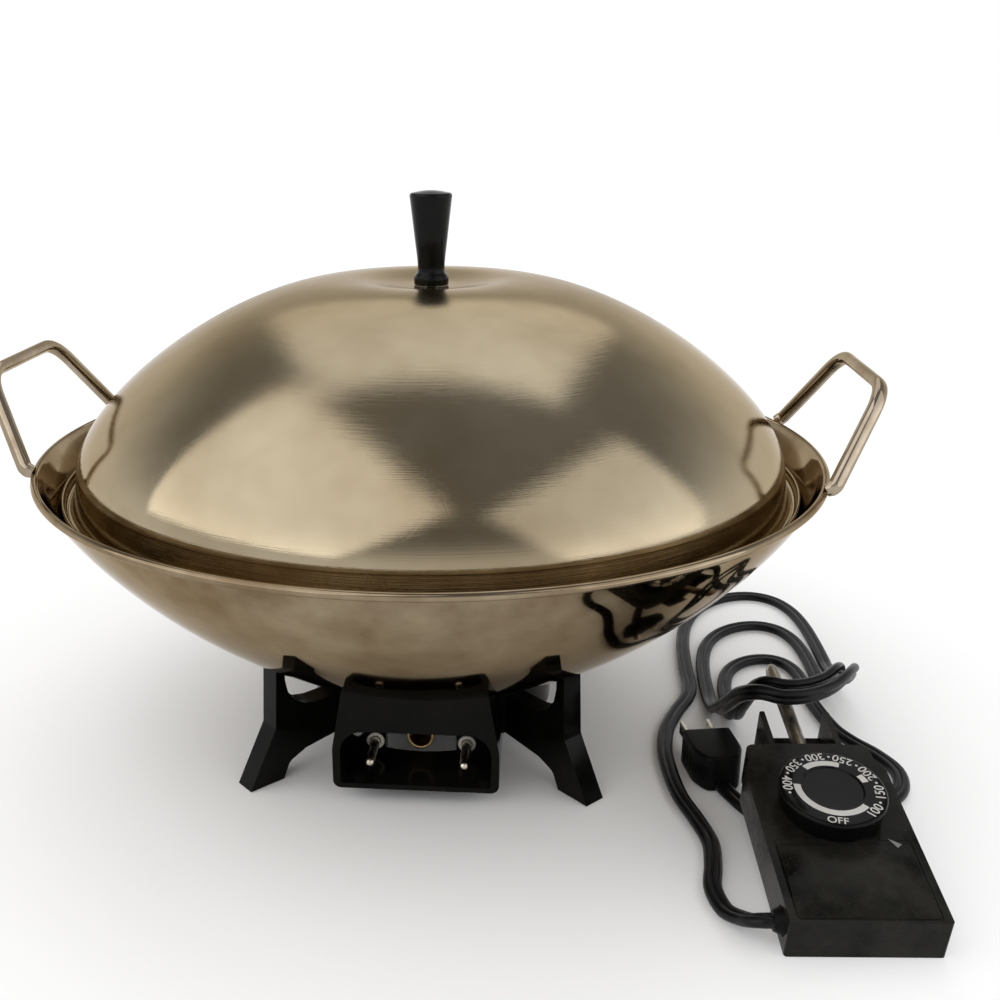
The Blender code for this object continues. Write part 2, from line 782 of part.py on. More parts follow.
def build_base():
    wall_inner = HUB_RADIUS - BASE_WALL
    stud_bore = STUD_RADIUS + TOUCH_GAP
    floor = HUB_UNDERSIDE + BASE_FLOOR
    top = pan_height_at_radius(HUB_RADIUS, 0.0) + CUT_OVERRUN
    profile = (
        (stud_bore, HUB_UNDERSIDE),
        (HUB_RADIUS, HUB_UNDERSIDE),
        (HUB_RADIUS, top),
        (wall_inner, top),
        (wall_inner, floor),
        (stud_bore, floor),
    )
    base = add("base_stand", turned("base_stand", profile, LARGE_STEPS), PHENOLIC)
    outline = [(radius, height) for radius, height in leg_outline()]
    for index in range(LEG_COUNT):
        leg_mesh = prism("leg", outline, -LEG_THICKNESS / 2, LEG_THICKNESS / 2)
        turn = (math.radians(90), 0.0, LEG_TURN + math.tau * index / LEG_COUNT)
        leg = add(f"leg_{index}", leg_mesh, PHENOLIC, turn=turn)
        combine(base, leg, "UNION")
    for side, name in ((1, "right"), (-1, "left")):
        boss = screw_boss(f"housing_boss_{name}", side)
        combine(base, boss, "UNION")
        hole = screw_hole(f"hub_hole_{name}", side, HOUSING_SCREW_RADIUS + TOUCH_GAP)
        combine(base, hole, "DIFFERENCE")
    window_low = (-HUB_WINDOW_HALF_WIDTH, -HUB_RADIUS - CUT_OVERRUN, HUB_UNDERSIDE - CUT_OVERRUN)
    window_high = (HUB_WINDOW_HALF_WIDTH, -ELEMENT_RING_RADIUS, top + CUT_OVERRUN)
    window = add("hub_window", block("hub_window", window_low, window_high), PHENOLIC)
    combine(base, window, "DIFFERENCE")
    combine(base, pan_cutter("pan_space_base"), "DIFFERENCE")


def hub_face_y(x):
    """Where the hub's outer face lies in front, at a distance x from the middle."""
    return -math.sqrt(HUB_RADIUS**2 - x**2)


def screw_boss(name, side):
    """A block inside the hub's wall and floor, whose front follows the wall."""
    low = HUB_UNDERSIDE + BASE_FLOOR / 2
    high = HOUSING_SCREW_HEIGHT + SCREW_BOSS_HEIGHT / 2 - BASE_WALL / 2
    across = [side * HOUSING_SCREW_HALF_SPAN + SCREW_BOSS_WIDTH * share / 4 for share in range(-2, 3)]
    inside = HUB_RADIUS - BASE_WALL / 2
    outline = [(x, -math.sqrt(inside**2 - x**2)) for x in across]
    rear = hub_face_y(HOUSING_SCREW_HALF_SPAN) + HOUSING_SCREW_BITE
    outline += [(across[-1], rear), (across[0], rear)]
    return add(name, prism(name, outline, low, high), PHENOLIC)


def screw_hole(name, side, radius):
    """A cutter along Y for one screw of the housing, open into the mouth."""
    depth = screw_tip_y() + TOUCH_GAP
    start = mouth_floor_y() - CUT_OVERRUN
    mesh = rod(name, radius, 0.0, depth - start, SMALL_STEPS)
    place = (side * HOUSING_SCREW_HALF_SPAN, depth, HOUSING_SCREW_HEIGHT)
    return add(name, mesh, PHENOLIC, place, (math.radians(90), 0.0, 0.0))


def screw_tip_y():
    """The housing's screws end inside their bosses."""
    return hub_face_y(HOUSING_SCREW_HALF_SPAN) + HOUSING_SCREW_BITE - BASE_WALL / 4


def build_base_fasteners():
    floor_low = HUB_UNDERSIDE
    washer_top = floor_low - TOUCH_GAP
    washer_low = washer_top - STUD_WASHER_THICKNESS
    bore = STUD_RADIUS + TOUCH_GAP
    washer = sleeve("base_washer", STUD_WASHER_RADIUS, bore, washer_low, washer_top)
    add("base_washer", washer, ZINC)

    nut_top = washer_low - TOUCH_GAP
    across = NUT_ACROSS_FLATS / math.sqrt(3)
    corners = [
        (across * math.cos(math.tau * step / 6), across * math.sin(math.tau * step / 6))
        for step in range(6)
    ]
    nut = add("base_nut", prism("base_nut", corners, nut_top - NUT_HEIGHT, nut_top), ZINC)
    hole_mesh = rod("nut_hole", bore, nut_top - NUT_HEIGHT - CUT_OVERRUN, nut_top + CUT_OVERRUN)
    combine(nut, add("nut_hole", hole_mesh, ZINC), "DIFFERENCE")

    stud_top = HEAT_PLATE_UNDERSIDE - TOUCH_GAP
    stud_low = HUB_UNDERSIDE - STUD_STAND_OUT
    add("base_stud", rod("base_stud", STUD_RADIUS, stud_low, stud_top), ZINC)


def housing_outline():
    """The housing from the front: X and height."""
    wide, narrow = HOUSING_HALF_WIDTH, HOUSING_TOP_HALF_WIDTH
    low, side, top = HOUSING_UNDERSIDE, HOUSING_SIDE_HEIGHT, HOUSING_TOP_HEIGHT
    outline = ((-wide, low), (wide, low), (wide, side), (narrow, top), (-narrow, top), (-wide, side))
    bend = HOUSING_HALF_WIDTH / 2
    return rounded(outline, (HOUSING_CORNER, HOUSING_CORNER, bend, 0.0, 0.0, bend))


def mouth_outline():
    wide = HOUSING_HALF_WIDTH - HOUSING_SIDE_WALL
    low = HOUSING_UNDERSIDE + HOUSING_FLOOR
    outline = ((-wide, low), (wide, low), (wide, MOUTH_TOP_HEIGHT), (-wide, MOUTH_TOP_HEIGHT))
    tight = HOUSING_CORNER - HOUSING_FLOOR
    return rounded(outline, (tight, tight, MOUTH_CORNER, MOUTH_CORNER))


def facing_front(name, outline, near, far, surface):
    """Raises an outline of X and height from a near plane to a far plane along Y."""
    mesh = prism(name, outline, -far, -near)
    return add(name, mesh, surface, turn=(math.radians(90), 0.0, 0.0))


def build_housing():
    """The shell round the terminals, fitted to the hub behind it and the pan over it."""
    rear = hub_face_y(HOUSING_HALF_WIDTH) + BASE_WALL
    housing = facing_front("connector_housing", housing_outline(), -HOUSING_REACH, rear, PHENOLIC)
    hub_profile_low = HOUSING_UNDERSIDE - CUT_OVERRUN
    hub_space_mesh = rod(
        "hub_space", HUB_RADIUS + TOUCH_GAP, hub_profile_low, HOUSING_TOP_HEIGHT + CUT_OVERRUN, LARGE_STEPS
    )
    combine(housing, add("hub_space", hub_space_mesh, PHENOLIC), "DIFFERENCE")
    front = -HOUSING_REACH - CUT_OVERRUN
    mouth = facing_front("mouth_space", mouth_outline(), front, mouth_floor_y(), PHENOLIC)
    combine(housing, mouth, "DIFFERENCE")
    along_y = (math.radians(90), 0.0, 0.0)
    depth = MOUTH_DEPTH
    for side, name in ((1, "right"), (-1, "left")):
        place = (side * PIN_SPACING / 2, mouth_floor_y() + depth, PIN_HEIGHT)
        mesh = rod(f"insulator_hole_{name}", INSULATOR_RADIUS + TOUCH_GAP, 0.0, depth + CUT_OVERRUN)
        hole = add(f"insulator_hole_{name}", mesh, PHENOLIC, place, along_y)
        combine(housing, hole, "DIFFERENCE")
        hole = screw_hole(f"housing_hole_{name}", side, HOUSING_SCREW_RADIUS + TOUCH_GAP)
        combine(housing, hole, "DIFFERENCE")
    nose_low = (-NOSE_HALF_WIDTH - NOSE_CLEARANCE, front, HOUSING_UNDERSIDE + HOUSING_FLOOR)
    nose_high = (NOSE_HALF_WIDTH + NOSE_CLEARANCE, rear, nose_low[2] + CASE_HEIGHT + NOSE_CLEARANCE)
    passage = add("nose_passage", block("nose_passage", nose_low, nose_high), PHENOLIC)
    combine(housing, passage, "DIFFERENCE")
    combine(housing, pan_cutter("pan_space_housing"), "DIFFERENCE")


def pan_head_screw(name, shank, length, head, head_height, place, turn, surface, parent=None):
    """A screw whose head seats at its origin and whose shank runs along -Z of its own frame."""
    crown = head_height / 2
    profile = (
        (0.0, -length),
        (shank, -length + shank),
        (shank, 0.0),
        (head, 0.0),
        (head, crown),
        (head - crown, head_height),
        (0.0, head_height),
    )
    add(name, turned(name, profile, SMALL_STEPS), surface, place, turn, parent)


def build_housing_screws():
    seat = mouth_floor_y() - TOUCH_GAP
    for side, name in ((1, "right"), (-1, "left")):
        pan_head_screw(
            f"housing_screw_{name}",
            HOUSING_SCREW_RADIUS,
            screw_tip_y() - seat,
            HOUSING_SCREW_HEAD_RADIUS,
            HOUSING_SCREW_HEAD_HEIGHT,
            (side * HOUSING_SCREW_HALF_SPAN, seat, HOUSING_SCREW_HEIGHT),
            (math.radians(90), 0.0, 0.0),
            ZINC,
        )


def case_outline(inset, nose=False):
    """The control's case from above, with its walls moved in by inset, with or without its nose."""
    middle = CASE_WIDTH / 2
    half = middle - inset
    rear_half = CASE_REAR_HALF_WIDTH - inset
    taper = CASE_SIDE_LENGTH + CASE_TAPER_LENGTH
    rear = CASE_LENGTH - inset
    corners = [(half, inset), (half, CASE_SIDE_LENGTH), (rear_half, taper), (rear_half, rear)]
    soft = CASE_CORNER if inset == 0.0 else 0.0
    bends = [soft, 0.0, 0.0, 3 * soft]
    if nose:
        corners += [(NOSE_HALF_WIDTH, rear), (NOSE_HALF_WIDTH, rear + NOSE_LENGTH)]
        bends += [soft, soft]
    right = [(middle + x, y) for x, y in corners]
    left = [(middle - x, y) for x, y in reversed(corners)]
    return rounded(right + left, bends + bends[::-1])


def case_screw_places():
    side = CASE_SCREW_INSET + CASE_WALL
    rear = CASE_SIDE_LENGTH * CASE_SCREW_REAR_SHARE
    return {
        "front_left": (side, CASE_SCREW_FRONT),
        "front_right": (CASE_WIDTH - side, CASE_SCREW_FRONT),
        "rear_left": (side, rear),
        "rear_right": (CASE_WIDTH - side, rear),
    }


def build_case_top(control):
    middle = CASE_WIDTH / 2
    outline = case_outline(0.0, nose=True)
    case_mesh = prism("control_case_top", outline, 0.0, CASE_HEIGHT)
    case = add("control_case_top", case_mesh, PHENOLIC, parent=control)

    roof = CASE_HEIGHT - CASE_WALL
    room_mesh = prism("case_room", case_outline(CASE_WALL), -CUT_OVERRUN, roof)
    combine(case, add("case_room", room_mesh, PHENOLIC, parent=control), "DIFFERENCE")

    nose_end = CASE_LENGTH + NOSE_LENGTH
    slot_half = NOSE_HALF_WIDTH - NOSE_WALL
    slot_low = (middle - slot_half, CASE_LENGTH + NOSE_WALL / 4, NOSE_WALL)
    slot_high = (middle + slot_half, nose_end + CUT_OVERRUN, CASE_HEIGHT + CUT_OVERRUN)
    slot = add("nose_slot", block("nose_slot", slot_low, slot_high), PHENOLIC, parent=control)
    combine(case, slot, "DIFFERENCE")

    boss_low = CASE_PLATE + 2 * TOUCH_GAP
    for name, (x, y) in case_screw_places().items():
        bore = CASE_SCREW_RADIUS + TOUCH_GAP
        bore_top = boss_low + CASE_SCREW_BITE + TOUCH_GAP
        boss_top = CASE_HEIGHT - CASE_WALL / 2
        profile = (
            (0.0, bore_top),
            (bore, bore_top),
            (bore, boss_low),
            (CASE_BOSS_RADIUS, boss_low),
            (CASE_BOSS_RADIUS, boss_top),
            (0.0, boss_top),
        )
        boss_mesh = turned(f"boss_{name}", profile)
        boss = add(f"boss_{name}", boss_mesh, PHENOLIC, (x, y, 0.0), parent=control)
        combine(case, boss, "UNION")

    for name, x, z, radius in control_bores():
        mesh = rod(name, radius, 0.0, 3 * CASE_WALL)
        place = (x, CASE_LENGTH + CASE_WALL, z)
        bore = add(name, mesh, PHENOLIC, place, (math.radians(90), 0.0, 0.0), control)
        combine(case, bore, "DIFFERENCE")

    relief_mesh = rod("relief_hole", RELIEF_ROOT_RADIUS + TOUCH_GAP, 0.0, 3 * CASE_WALL)
    place = (2 * CASE_WALL, RELIEF_PLACE, RELIEF_HEIGHT)
    relief_hole = add("relief_hole", relief_mesh, PHENOLIC, place, (0.0, math.radians(-90), 0.0), control)
    combine(case, relief_hole, "DIFFERENCE")

    panel_space = panel_mesh("panel_space", TOUCH_GAP, -PANEL_THICKNESS, CUT_OVERRUN)
    combine(case, add("panel_space", panel_space, PHENOLIC, parent=control), "DIFFERENCE")

    bush_mesh = rod("bush_hole", BUSH_RADIUS + TOUCH_GAP, -BUSH_DROP, CUT_OVERRUN)
    bush_hole = add("bush_hole", bush_mesh, PHENOLIC, parent=dial_frame(control, "bush_hole_frame"))
    combine(case, bush_hole, "DIFFERENCE")


def control_bores():
    """Holes in the case's rear wall: one for the probe and one for each terminal pin."""
    middle = CASE_WIDTH / 2
    half = PIN_SPACING / 2
    pin_bore = PIN_RADIUS + TOUCH_GAP
    return (
        ("probe_bore", middle, PROBE_HEIGHT, PROBE_RADIUS + TOUCH_GAP),
        ("socket_bore_left", middle - half, SOCKET_HEIGHT, pin_bore),
        ("socket_bore_right", middle + half, SOCKET_HEIGHT, pin_bore),
    )


def build_case_bottom(control):
    outline = case_outline(CASE_WALL + TOUCH_GAP)
    plate = add(
        "control_case_bottom",
        prism("control_case_bottom", outline, TOUCH_GAP, CASE_PLATE),
        PHENOLIC,
        parent=control,
    )
    for name, (x, y) in case_screw_places().items():
        bore = CASE_SCREW_RADIUS + TOUCH_GAP
        sink = CASE_SCREW_HEAD_RADIUS + TOUCH_GAP
        sink_high = 2 * TOUCH_GAP + CASE_SCREW_HEAD_HEIGHT
        through = CASE_PLATE + CUT_OVERRUN
        profile = (
            (0.0, -CUT_OVERRUN),
            (sink, -CUT_OVERRUN),
            (sink, sink_high),
            (bore, sink_high),
            (bore, through),
            (0.0, through),
        )
        hole_mesh = turned(f"plate_hole_{name}", profile)
        hole = add(f"plate_hole_{name}", hole_mesh, PHENOLIC, (x, y, 0.0), parent=control)
        combine(plate, hole, "DIFFERENCE")
        seat = sink_high - TOUCH_GAP
        pan_head_screw(
            f"case_screw_{name}",
            CASE_SCREW_RADIUS,
            CASE_PLATE - seat + CASE_SCREW_BITE,
            CASE_SCREW_HEAD_RADIUS,
            CASE_SCREW_HEAD_HEIGHT,
            (x, y, seat),
            (math.radians(180), 0.0, 0.0),
            ZINC,
            control,
        )


def panel_mesh(name, grow, low, high):
    """The bare label panel's outline on the case's top, between two heights above the top."""
    left, right = PANEL_MARGIN - grow, CASE_WIDTH - PANEL_MARGIN + grow
    front, rear = PANEL_FRONT - grow, PANEL_FRONT + PANEL_LENGTH + grow
    corner = PANEL_CORNER + grow
    outline = rounded(((left, front), (right, front), (right, rear), (left, rear)), (corner,) * 4)
    return prism(name, outline, CASE_HEIGHT + low, CASE_HEIGHT + high)


def build_panel(control):
    mesh = panel_mesh("label_plate", 0.0, TOUCH_GAP - PANEL_THICKNESS, TOUCH_GAP / 2)
    add("label_plate", mesh, PHENOLIC, parent=control)


def build_probe(control):
    """The sensing rod: from the thermostat inside the case to its rounded tip."""
    start = CASE_LENGTH - PROBE_INNER_LENGTH
    length = PROBE_INNER_LENGTH + PROBE_REACH
    tip = 2 * PROBE_RADIUS
    profile = (
        (0.0, 0.0),
        (PROBE_RADIUS, 0.0),
        (PROBE_RADIUS, length - tip),
        *((PROBE_RADIUS * wide, length - tip * deep) for wide, deep in PROBE_TIP_SHARES),
        (0.0, length),
    )
    place = (CASE_WIDTH / 2, start, PROBE_HEIGHT)
    turn = (math.radians(-90), 0.0, 0.0)
    add("probe_rod", turned("probe_rod", profile), PROBE_METAL, place, turn, control)


def build_socket_contacts(control):
    rear = CASE_LENGTH - CASE_WALL - TOUCH_GAP
    for side, name in ((1, "right"), (-1, "left")):
        x = CASE_WIDTH / 2 + side * PIN_SPACING / 2
        mesh = sleeve(f"socket_contact_{name}", SOCKET_RADIUS, SOCKET_BORE_RADIUS, 0.0, SOCKET_LENGTH)
        turn = (math.radians(90), 0.0, 0.0)
        add(f"socket_contact_{name}", mesh, BRASS, (x, rear, SOCKET_HEIGHT), turn, control)


def dial_frame(control, name):
    """A frame on the case's top, on the axis of the dial."""
    return frame(name, (CASE_WIDTH / 2, DIAL_PLACE, CASE_HEIGHT), parent=control)


def build_bush(control):
    """The brass bush that the spindle turns in, with a flange above the case."""
    seat = TOUCH_GAP
    flange_top = seat + BUSH_FLANGE
    bore = SPINDLE_RADIUS + TOUCH_GAP
    profile = (
        (bore, -BUSH_DROP),
        (BUSH_RADIUS, -BUSH_DROP),
        (BUSH_RADIUS, seat),
        (BUSH_FLANGE_RADIUS, seat),
        (BUSH_FLANGE_RADIUS, flange_top),
        (BUSH_RADIUS, flange_top),
        (BUSH_RADIUS, BUSH_STAND_OUT),
        (bore, BUSH_STAND_OUT),
    )
    add("spindle_bush", turned("spindle_bush", profile), BRASS, parent=dial_frame(control, "bush_frame"))


def build_dial(dial):
    """The dial: a cupped knob on the spindle's upper end, its face bare but for a shallow ring."""
    low = DIAL_STAND_OFF
    top = low + DIAL_HEIGHT
    cup_top = low + DIAL_CUP_DEPTH
    bore = SPINDLE_RADIUS + TOUCH_GAP
    hub = BUSH_FLANGE_RADIUS
    hub_low = BUSH_STAND_OUT + TOUCH_GAP
    bore_top = hub_low + SPINDLE_BITE
    profile = (
        (0.0, bore_top),
        (bore, bore_top),
        (bore, hub_low),
        (hub, hub_low),
        (hub, cup_top),
        (DIAL_CUP_RADIUS, cup_top),
        (DIAL_CUP_RADIUS, low),
        (DIAL_BASE_RADIUS, low),
        (DIAL_RADIUS, top - DIAL_BEVEL),
        (DIAL_RADIUS - DIAL_BEVEL, top),
        (DIAL_RING_RADIUS, top),
        (DIAL_RING_RADIUS - DIAL_RING_STEP, top - DIAL_RING_STEP),
        (0.0, top - DIAL_RING_STEP),
    )
    add("dial_knob", turned("dial_knob", profile, MIDDLE_STEPS), PHENOLIC, parent=dial)

    spindle_low = upper_blade_top() + TOUCH_GAP - CASE_HEIGHT
    spindle_top = hub_low + SPINDLE_BITE - TOUCH_GAP
    spindle_mesh = rod("dial_spindle", SPINDLE_RADIUS, spindle_low, spindle_top)
    add("dial_spindle", spindle_mesh, ZINC, parent=dial)


def bracket_height():
    return CASE_PLATE + BRACKET_CLEARANCE


def upper_blade_top():
    """Height of the upper blade's top, on which the spindle bears."""
    return bracket_height() + BRACKET_THICKNESS + TOUCH_GAP + 2 * BLADE_THICKNESS + BLADE_GAP


def build_thermostat(control):
    """Bracket, two spring blades and the stack that clamps them, under the dial."""
    middle = CASE_WIDTH / 2
    low = bracket_height()
    rear = CASE_LENGTH - PROBE_INNER_LENGTH - TOUCH_GAP
    front = rear - BRACKET_LENGTH
    half = BRACKET_WIDTH / 2
    outline = ((middle - half, front), (middle + half, front), (middle + half, rear), (middle - half, rear))
    bracket_mesh = prism("thermostat_bracket", outline, low, low + BRACKET_THICKNESS)
    bracket = add("thermostat_bracket", bracket_mesh, ZINC, parent=control)
    wall_top = PROBE_HEIGHT + PROBE_RADIUS
    end_low = (middle - half, rear - BRACKET_THICKNESS, low)
    end_high = (middle + half, rear, wall_top)
    end = add("bracket_end", block("bracket_end", end_low, end_high), ZINC, parent=control)
    combine(bracket, end, "UNION")
    foot_low = (middle - half, front, CASE_PLATE + TOUCH_GAP)
    foot_high = (middle + half, front + BRACKET_THICKNESS, low + BRACKET_THICKNESS)
    foot = add("bracket_foot", block("bracket_foot", foot_low, foot_high), ZINC, parent=control)
    combine(bracket, foot, "UNION")

    stack_y = front + STACK_INSET
    stack_low = low + BRACKET_THICKNESS + TOUCH_GAP
    lower = stack_low
    upper = lower + BLADE_THICKNESS + BLADE_GAP
    half_blade = BLADE_WIDTH / 2
    blade_front = stack_y - STACK_RADIUS
    contact_y = blade_front + BLADE_LENGTH - 2 * BLADE_CONTACT_RADIUS
    half_gap = BLADE_GAP / 2
    contacts = (
        ("contact_blade_lower", lower, lower + BLADE_THICKNESS / 2),
        ("contact_blade_upper", upper, upper - half_gap + TOUCH_GAP),
    )
    for name, height, contact_low in contacts:
        low_corner = (middle - half_blade, blade_front, height)
        high_corner = (middle + half_blade, blade_front + BLADE_LENGTH, height + BLADE_THICKNESS)
        blade = add(name, block(name, low_corner, high_corner), BRASS, parent=control)
        contact_mesh = rod(f"{name}_point", BLADE_CONTACT_RADIUS, contact_low, contact_low + half_gap)
        contact = add(f"{name}_point", contact_mesh, BRASS, (middle, contact_y, 0.0), parent=control)
        combine(blade, contact, "UNION")
    spacer_low = lower + BLADE_THICKNESS + TOUCH_GAP
    spacer_high = upper - TOUCH_GAP
    spacer = rod("blade_spacer", STACK_RADIUS, spacer_low, spacer_high)
    add("blade_spacer", spacer, CERAMIC, (middle, stack_y, 0.0), parent=control)


def build_relief(control):
    """The tapered strain relief: a flange inside the wall and a sleeve outside it."""
    inner = CASE_WALL + TOUCH_GAP
    profile = (
        (0.0, -RELIEF_INSIDE),
        (RELIEF_TIP_RADIUS, -RELIEF_INSIDE),
        (RELIEF_ROOT_RADIUS, -inner - RELIEF_FLANGE),
        (RELIEF_FLANGE_RADIUS, -inner - RELIEF_FLANGE),
        (RELIEF_FLANGE_RADIUS, -inner),
        (RELIEF_ROOT_RADIUS, -inner),
        (RELIEF_ROOT_RADIUS, 0.0),
        (RELIEF_TIP_RADIUS, RELIEF_OUTSIDE),
        (0.0, RELIEF_OUTSIDE),
    )
    place = (0.0, RELIEF_PLACE, RELIEF_HEIGHT)
    turn = (0.0, math.radians(-90), 0.0)
    add("strain_relief", turned("strain_relief", profile), RUBBER, place, turn, control)


def control_matrix():
    tilt = Matrix.Rotation(CONTROL_TILT, 4, "X")
    turn = Matrix.Rotation(CONTROL_TURN, 4, "Z")
    return Matrix.Translation(CONTROL_PLACE) @ turn @ tilt


def smooth_through(points, spacing):
    """A smooth curve through hand-chosen points, read at an even spacing."""
    points = [Vector(point) for point in points]
    padded = [2 * points[0] - points[1], *points, 2 * points[-1] - points[-2]]
    fine = []
    for index in range(1, len(padded) - 2):
        before, start, end, after = padded[index - 1 : index + 3]
        for step in range(16):
            share = step / 16
            square, cube = share**2, share**3
            fine.append(
                (
                    2 * start
                    + (end - before) * share
                    + (2 * before - 5 * start + 4 * end - after) * square
                    + (3 * start - before - 3 * end + after) * cube
                )
                / 2
            )
    fine.append(points[-1])
    travelled = [0.0]
    for first, second in zip(fine, fine[1:]):
        travelled.append(travelled[-1] + (second - first).length)
    count = max(round(travelled[-1] / spacing), 1)
    path = []
    index = 0
    for step in range(count + 1):
        wanted = travelled[-1] * step / count
        while index < len(fine) - 2 and travelled[index + 1] < wanted:
            index += 1
        run = travelled[index + 1] - travelled[index]
        share = (wanted - travelled[index]) / run if run > 0.0 else 0.0
        path.append(fine[index].lerp(fine[index + 1], min(share, 1.0)))
    return path


def winding_point(turns):
    """A point on the winding: it starts on the left, runs to the far end, and comes back on the right."""
    angle = math.pi - math.tau * turns
    half = WINDING_HALF_WIDTH - WINDING_HALF_WIDTH_STEP * turns
    near = WINDING_NEAR + WINDING_NEAR_STEP * turns
    far = WINDING_FAR - WINDING_FAR_STEP * turns
    square = WINDING_SQUARE_SHARE
    across = half * (math.cos(angle) - square * math.cos(3 * angle)) / (1 - square)
    y = (near + far) / 2 + (far - near) / 2 * math.sin(angle) + WINDING_SKEW_SHARE * across
    from_near = abs(math.remainder(angle + math.pi / 2, math.tau)) / math.pi
    descent = (from_near - WINDING_TOP_SHARE) / (WINDING_HUMP_SHARE - WINDING_TOP_SHARE)
    fall = min(max(descent, 0.0), 1.0)
    lift = WINDING_LIFT * (1 + math.cos(math.pi * fall)) / 2
    return Vector((WINDING_CENTRE + across, y, CORD_RADIUS + lift))


def winding_path():
    steps = round(WINDING_TURNS * CORD_LOOP_POINTS)
    return [winding_point(WINDING_TURNS * step / steps) for step in range(steps + 1)]


def with_straight_end(path, at_start):
    """Lets the end of a wound tube run straight for one diameter."""
    ordered = path if at_start else path[::-1]
    along = (ordered[0] - ordered[1]).normalized()
    ordered = [ordered[0] + along * 2 * CORD_RADIUS, *ordered]
    return ordered if at_start else ordered[::-1]


def least_gap(path):
    """The least distance between the surfaces of turns that aren't neighbours along the path."""
    fine = []
    for first, second in zip(path, path[1:]):
        fine += [first.lerp(second, share / 4) for share in range(4)]
    spacing = (fine[1] - fine[0]).length
    apart = max(int(6 * CORD_RADIUS / spacing), 1) + 4
    least = min(
        (fine[later] - fine[early]).length
        for early in range(len(fine))
        for later in range(early + apart, len(fine))
    )
    return least - 2 * CORD_RADIUS


def plug_matrix():
    return Matrix.Translation(PLUG_CENTRE) @ Matrix.Rotation(PLUG_TURN, 4, "Z")


def plug_entry():
    """The point where the cord meets the plug, and the direction out of the plug."""
    local = Vector((0.0, -PLUG_LENGTH / 2, PLUG_ENTRY_HEIGHT))
    placed = plug_matrix()
    out = (placed.to_3x3() @ Vector((0.0, -1.0, 0.0))).normalized()
    return placed @ local, out


def laid(start, start_out, route, end, end_out):
    """A smooth path from start to end along a route. Each end runs straight for one diameter."""
    straight = 2 * CORD_RADIUS
    near_start, near_end = start + start_out * straight, end + end_out * straight
    middle = [Vector((x, y, CORD_RADIUS + lift)) for x, y, lift in route]
    path = smooth_through([start, near_start, *middle, near_end, end], CORD_SPACING)
    for point in path:
        point.z = max(point.z, CORD_RADIUS)
    return [start, near_start, *path[1:-1], near_end, end]


def build_cord():
    """Lead from the strain relief, the winding, and the tail that ends in the plug."""
    placed = control_matrix()
    out = (placed.to_3x3() @ Vector((-1.0, 0.0, 0.0))).normalized()
    exit_point = placed @ Vector((-RELIEF_OUTSIDE - TOUCH_GAP, RELIEF_PLACE, RELIEF_HEIGHT))
    wound = with_straight_end(with_straight_end(winding_path(), True), False)
    start_out = (wound[0] - wound[1]).normalized()
    end_out = (wound[-1] - wound[-2]).normalized()

    lead = laid(exit_point, out, LEAD_ROUTE, wound[0] + start_out * TOUCH_GAP, start_out)
    tube("cord_lead", lead, CORD_RADIUS, CORD_BLACK)

    tube("cord_winding", wound, CORD_RADIUS, CORD_BLACK, 1)
    print(f"least gap of the winding to itself: {least_gap(wound) * 1000:.2f} mm")

    entry, entry_out = plug_entry()
    tail_start = wound[-1] + end_out * TOUCH_GAP
    tail = laid(tail_start, end_out, TAIL_ROUTE, entry + entry_out * TOUCH_GAP, entry_out)
    tube("cord_tail", tail, CORD_RADIUS, CORD_BLACK)


def build_plug():
    placed = frame("plug_frame", PLUG_CENTRE, (0.0, 0.0, PLUG_TURN))
    half, length = PLUG_WIDTH / 2, PLUG_LENGTH / 2
    corners = ((-half, -length), (half, -length), (half, length), (-half, length))
    outline = rounded(corners, (PLUG_CORNER,) * 4)
    body = add("plug_body", prism("plug_body", outline, 0.0, PLUG_HEIGHT), RUBBER, parent=placed)
    for side, name in ((1, "right"), (-1, "left")):
        x = side * BLADE_PRONG_SPACING / 2
        thin = BLADE_PRONG_THICKNESS / 2
        wide = BLADE_PRONG_WIDTH / 2
        middle = PLUG_HEIGHT / 2
        root = length - BLADE_PRONG_ROOT
        gap = TOUCH_GAP
        slot_low = (x - thin - gap, root - gap, middle - wide - gap)
        slot_high = (x + thin + gap, length + CUT_OVERRUN, middle + wide + gap)
        slot_mesh = block(f"prong_slot_{name}", slot_low, slot_high)
        slot = add(f"prong_slot_{name}", slot_mesh, RUBBER, parent=placed)
        combine(body, slot, "DIFFERENCE")
        low = (x - thin, root, middle - wide)
        high = (x + thin, length + BLADE_PRONG_LENGTH, middle + wide)
        add(f"plug_blade_{name}", block(f"plug_blade_{name}", low, high), NICKEL, parent=placed)


def build_wok():
    build_pan()
    build_handles()
    build_heat_plate()
    build_element()
    build_terminals()
    build_probe_guide()
    build_base()
    build_base_fasteners()
    build_housing()
    build_housing_screws()


def build_control():
    control = frame("control_frame", CONTROL_PLACE, (CONTROL_TILT, 0.0, CONTROL_TURN))
    build_case_top(control)
    build_case_bottom(control)
    build_panel(control)
    build_probe(control)
    build_socket_contacts(control)
    build_bush(control)
    build_thermostat(control)
    build_relief(control)
    build_dial(dial_frame(control, "dial_frame"))


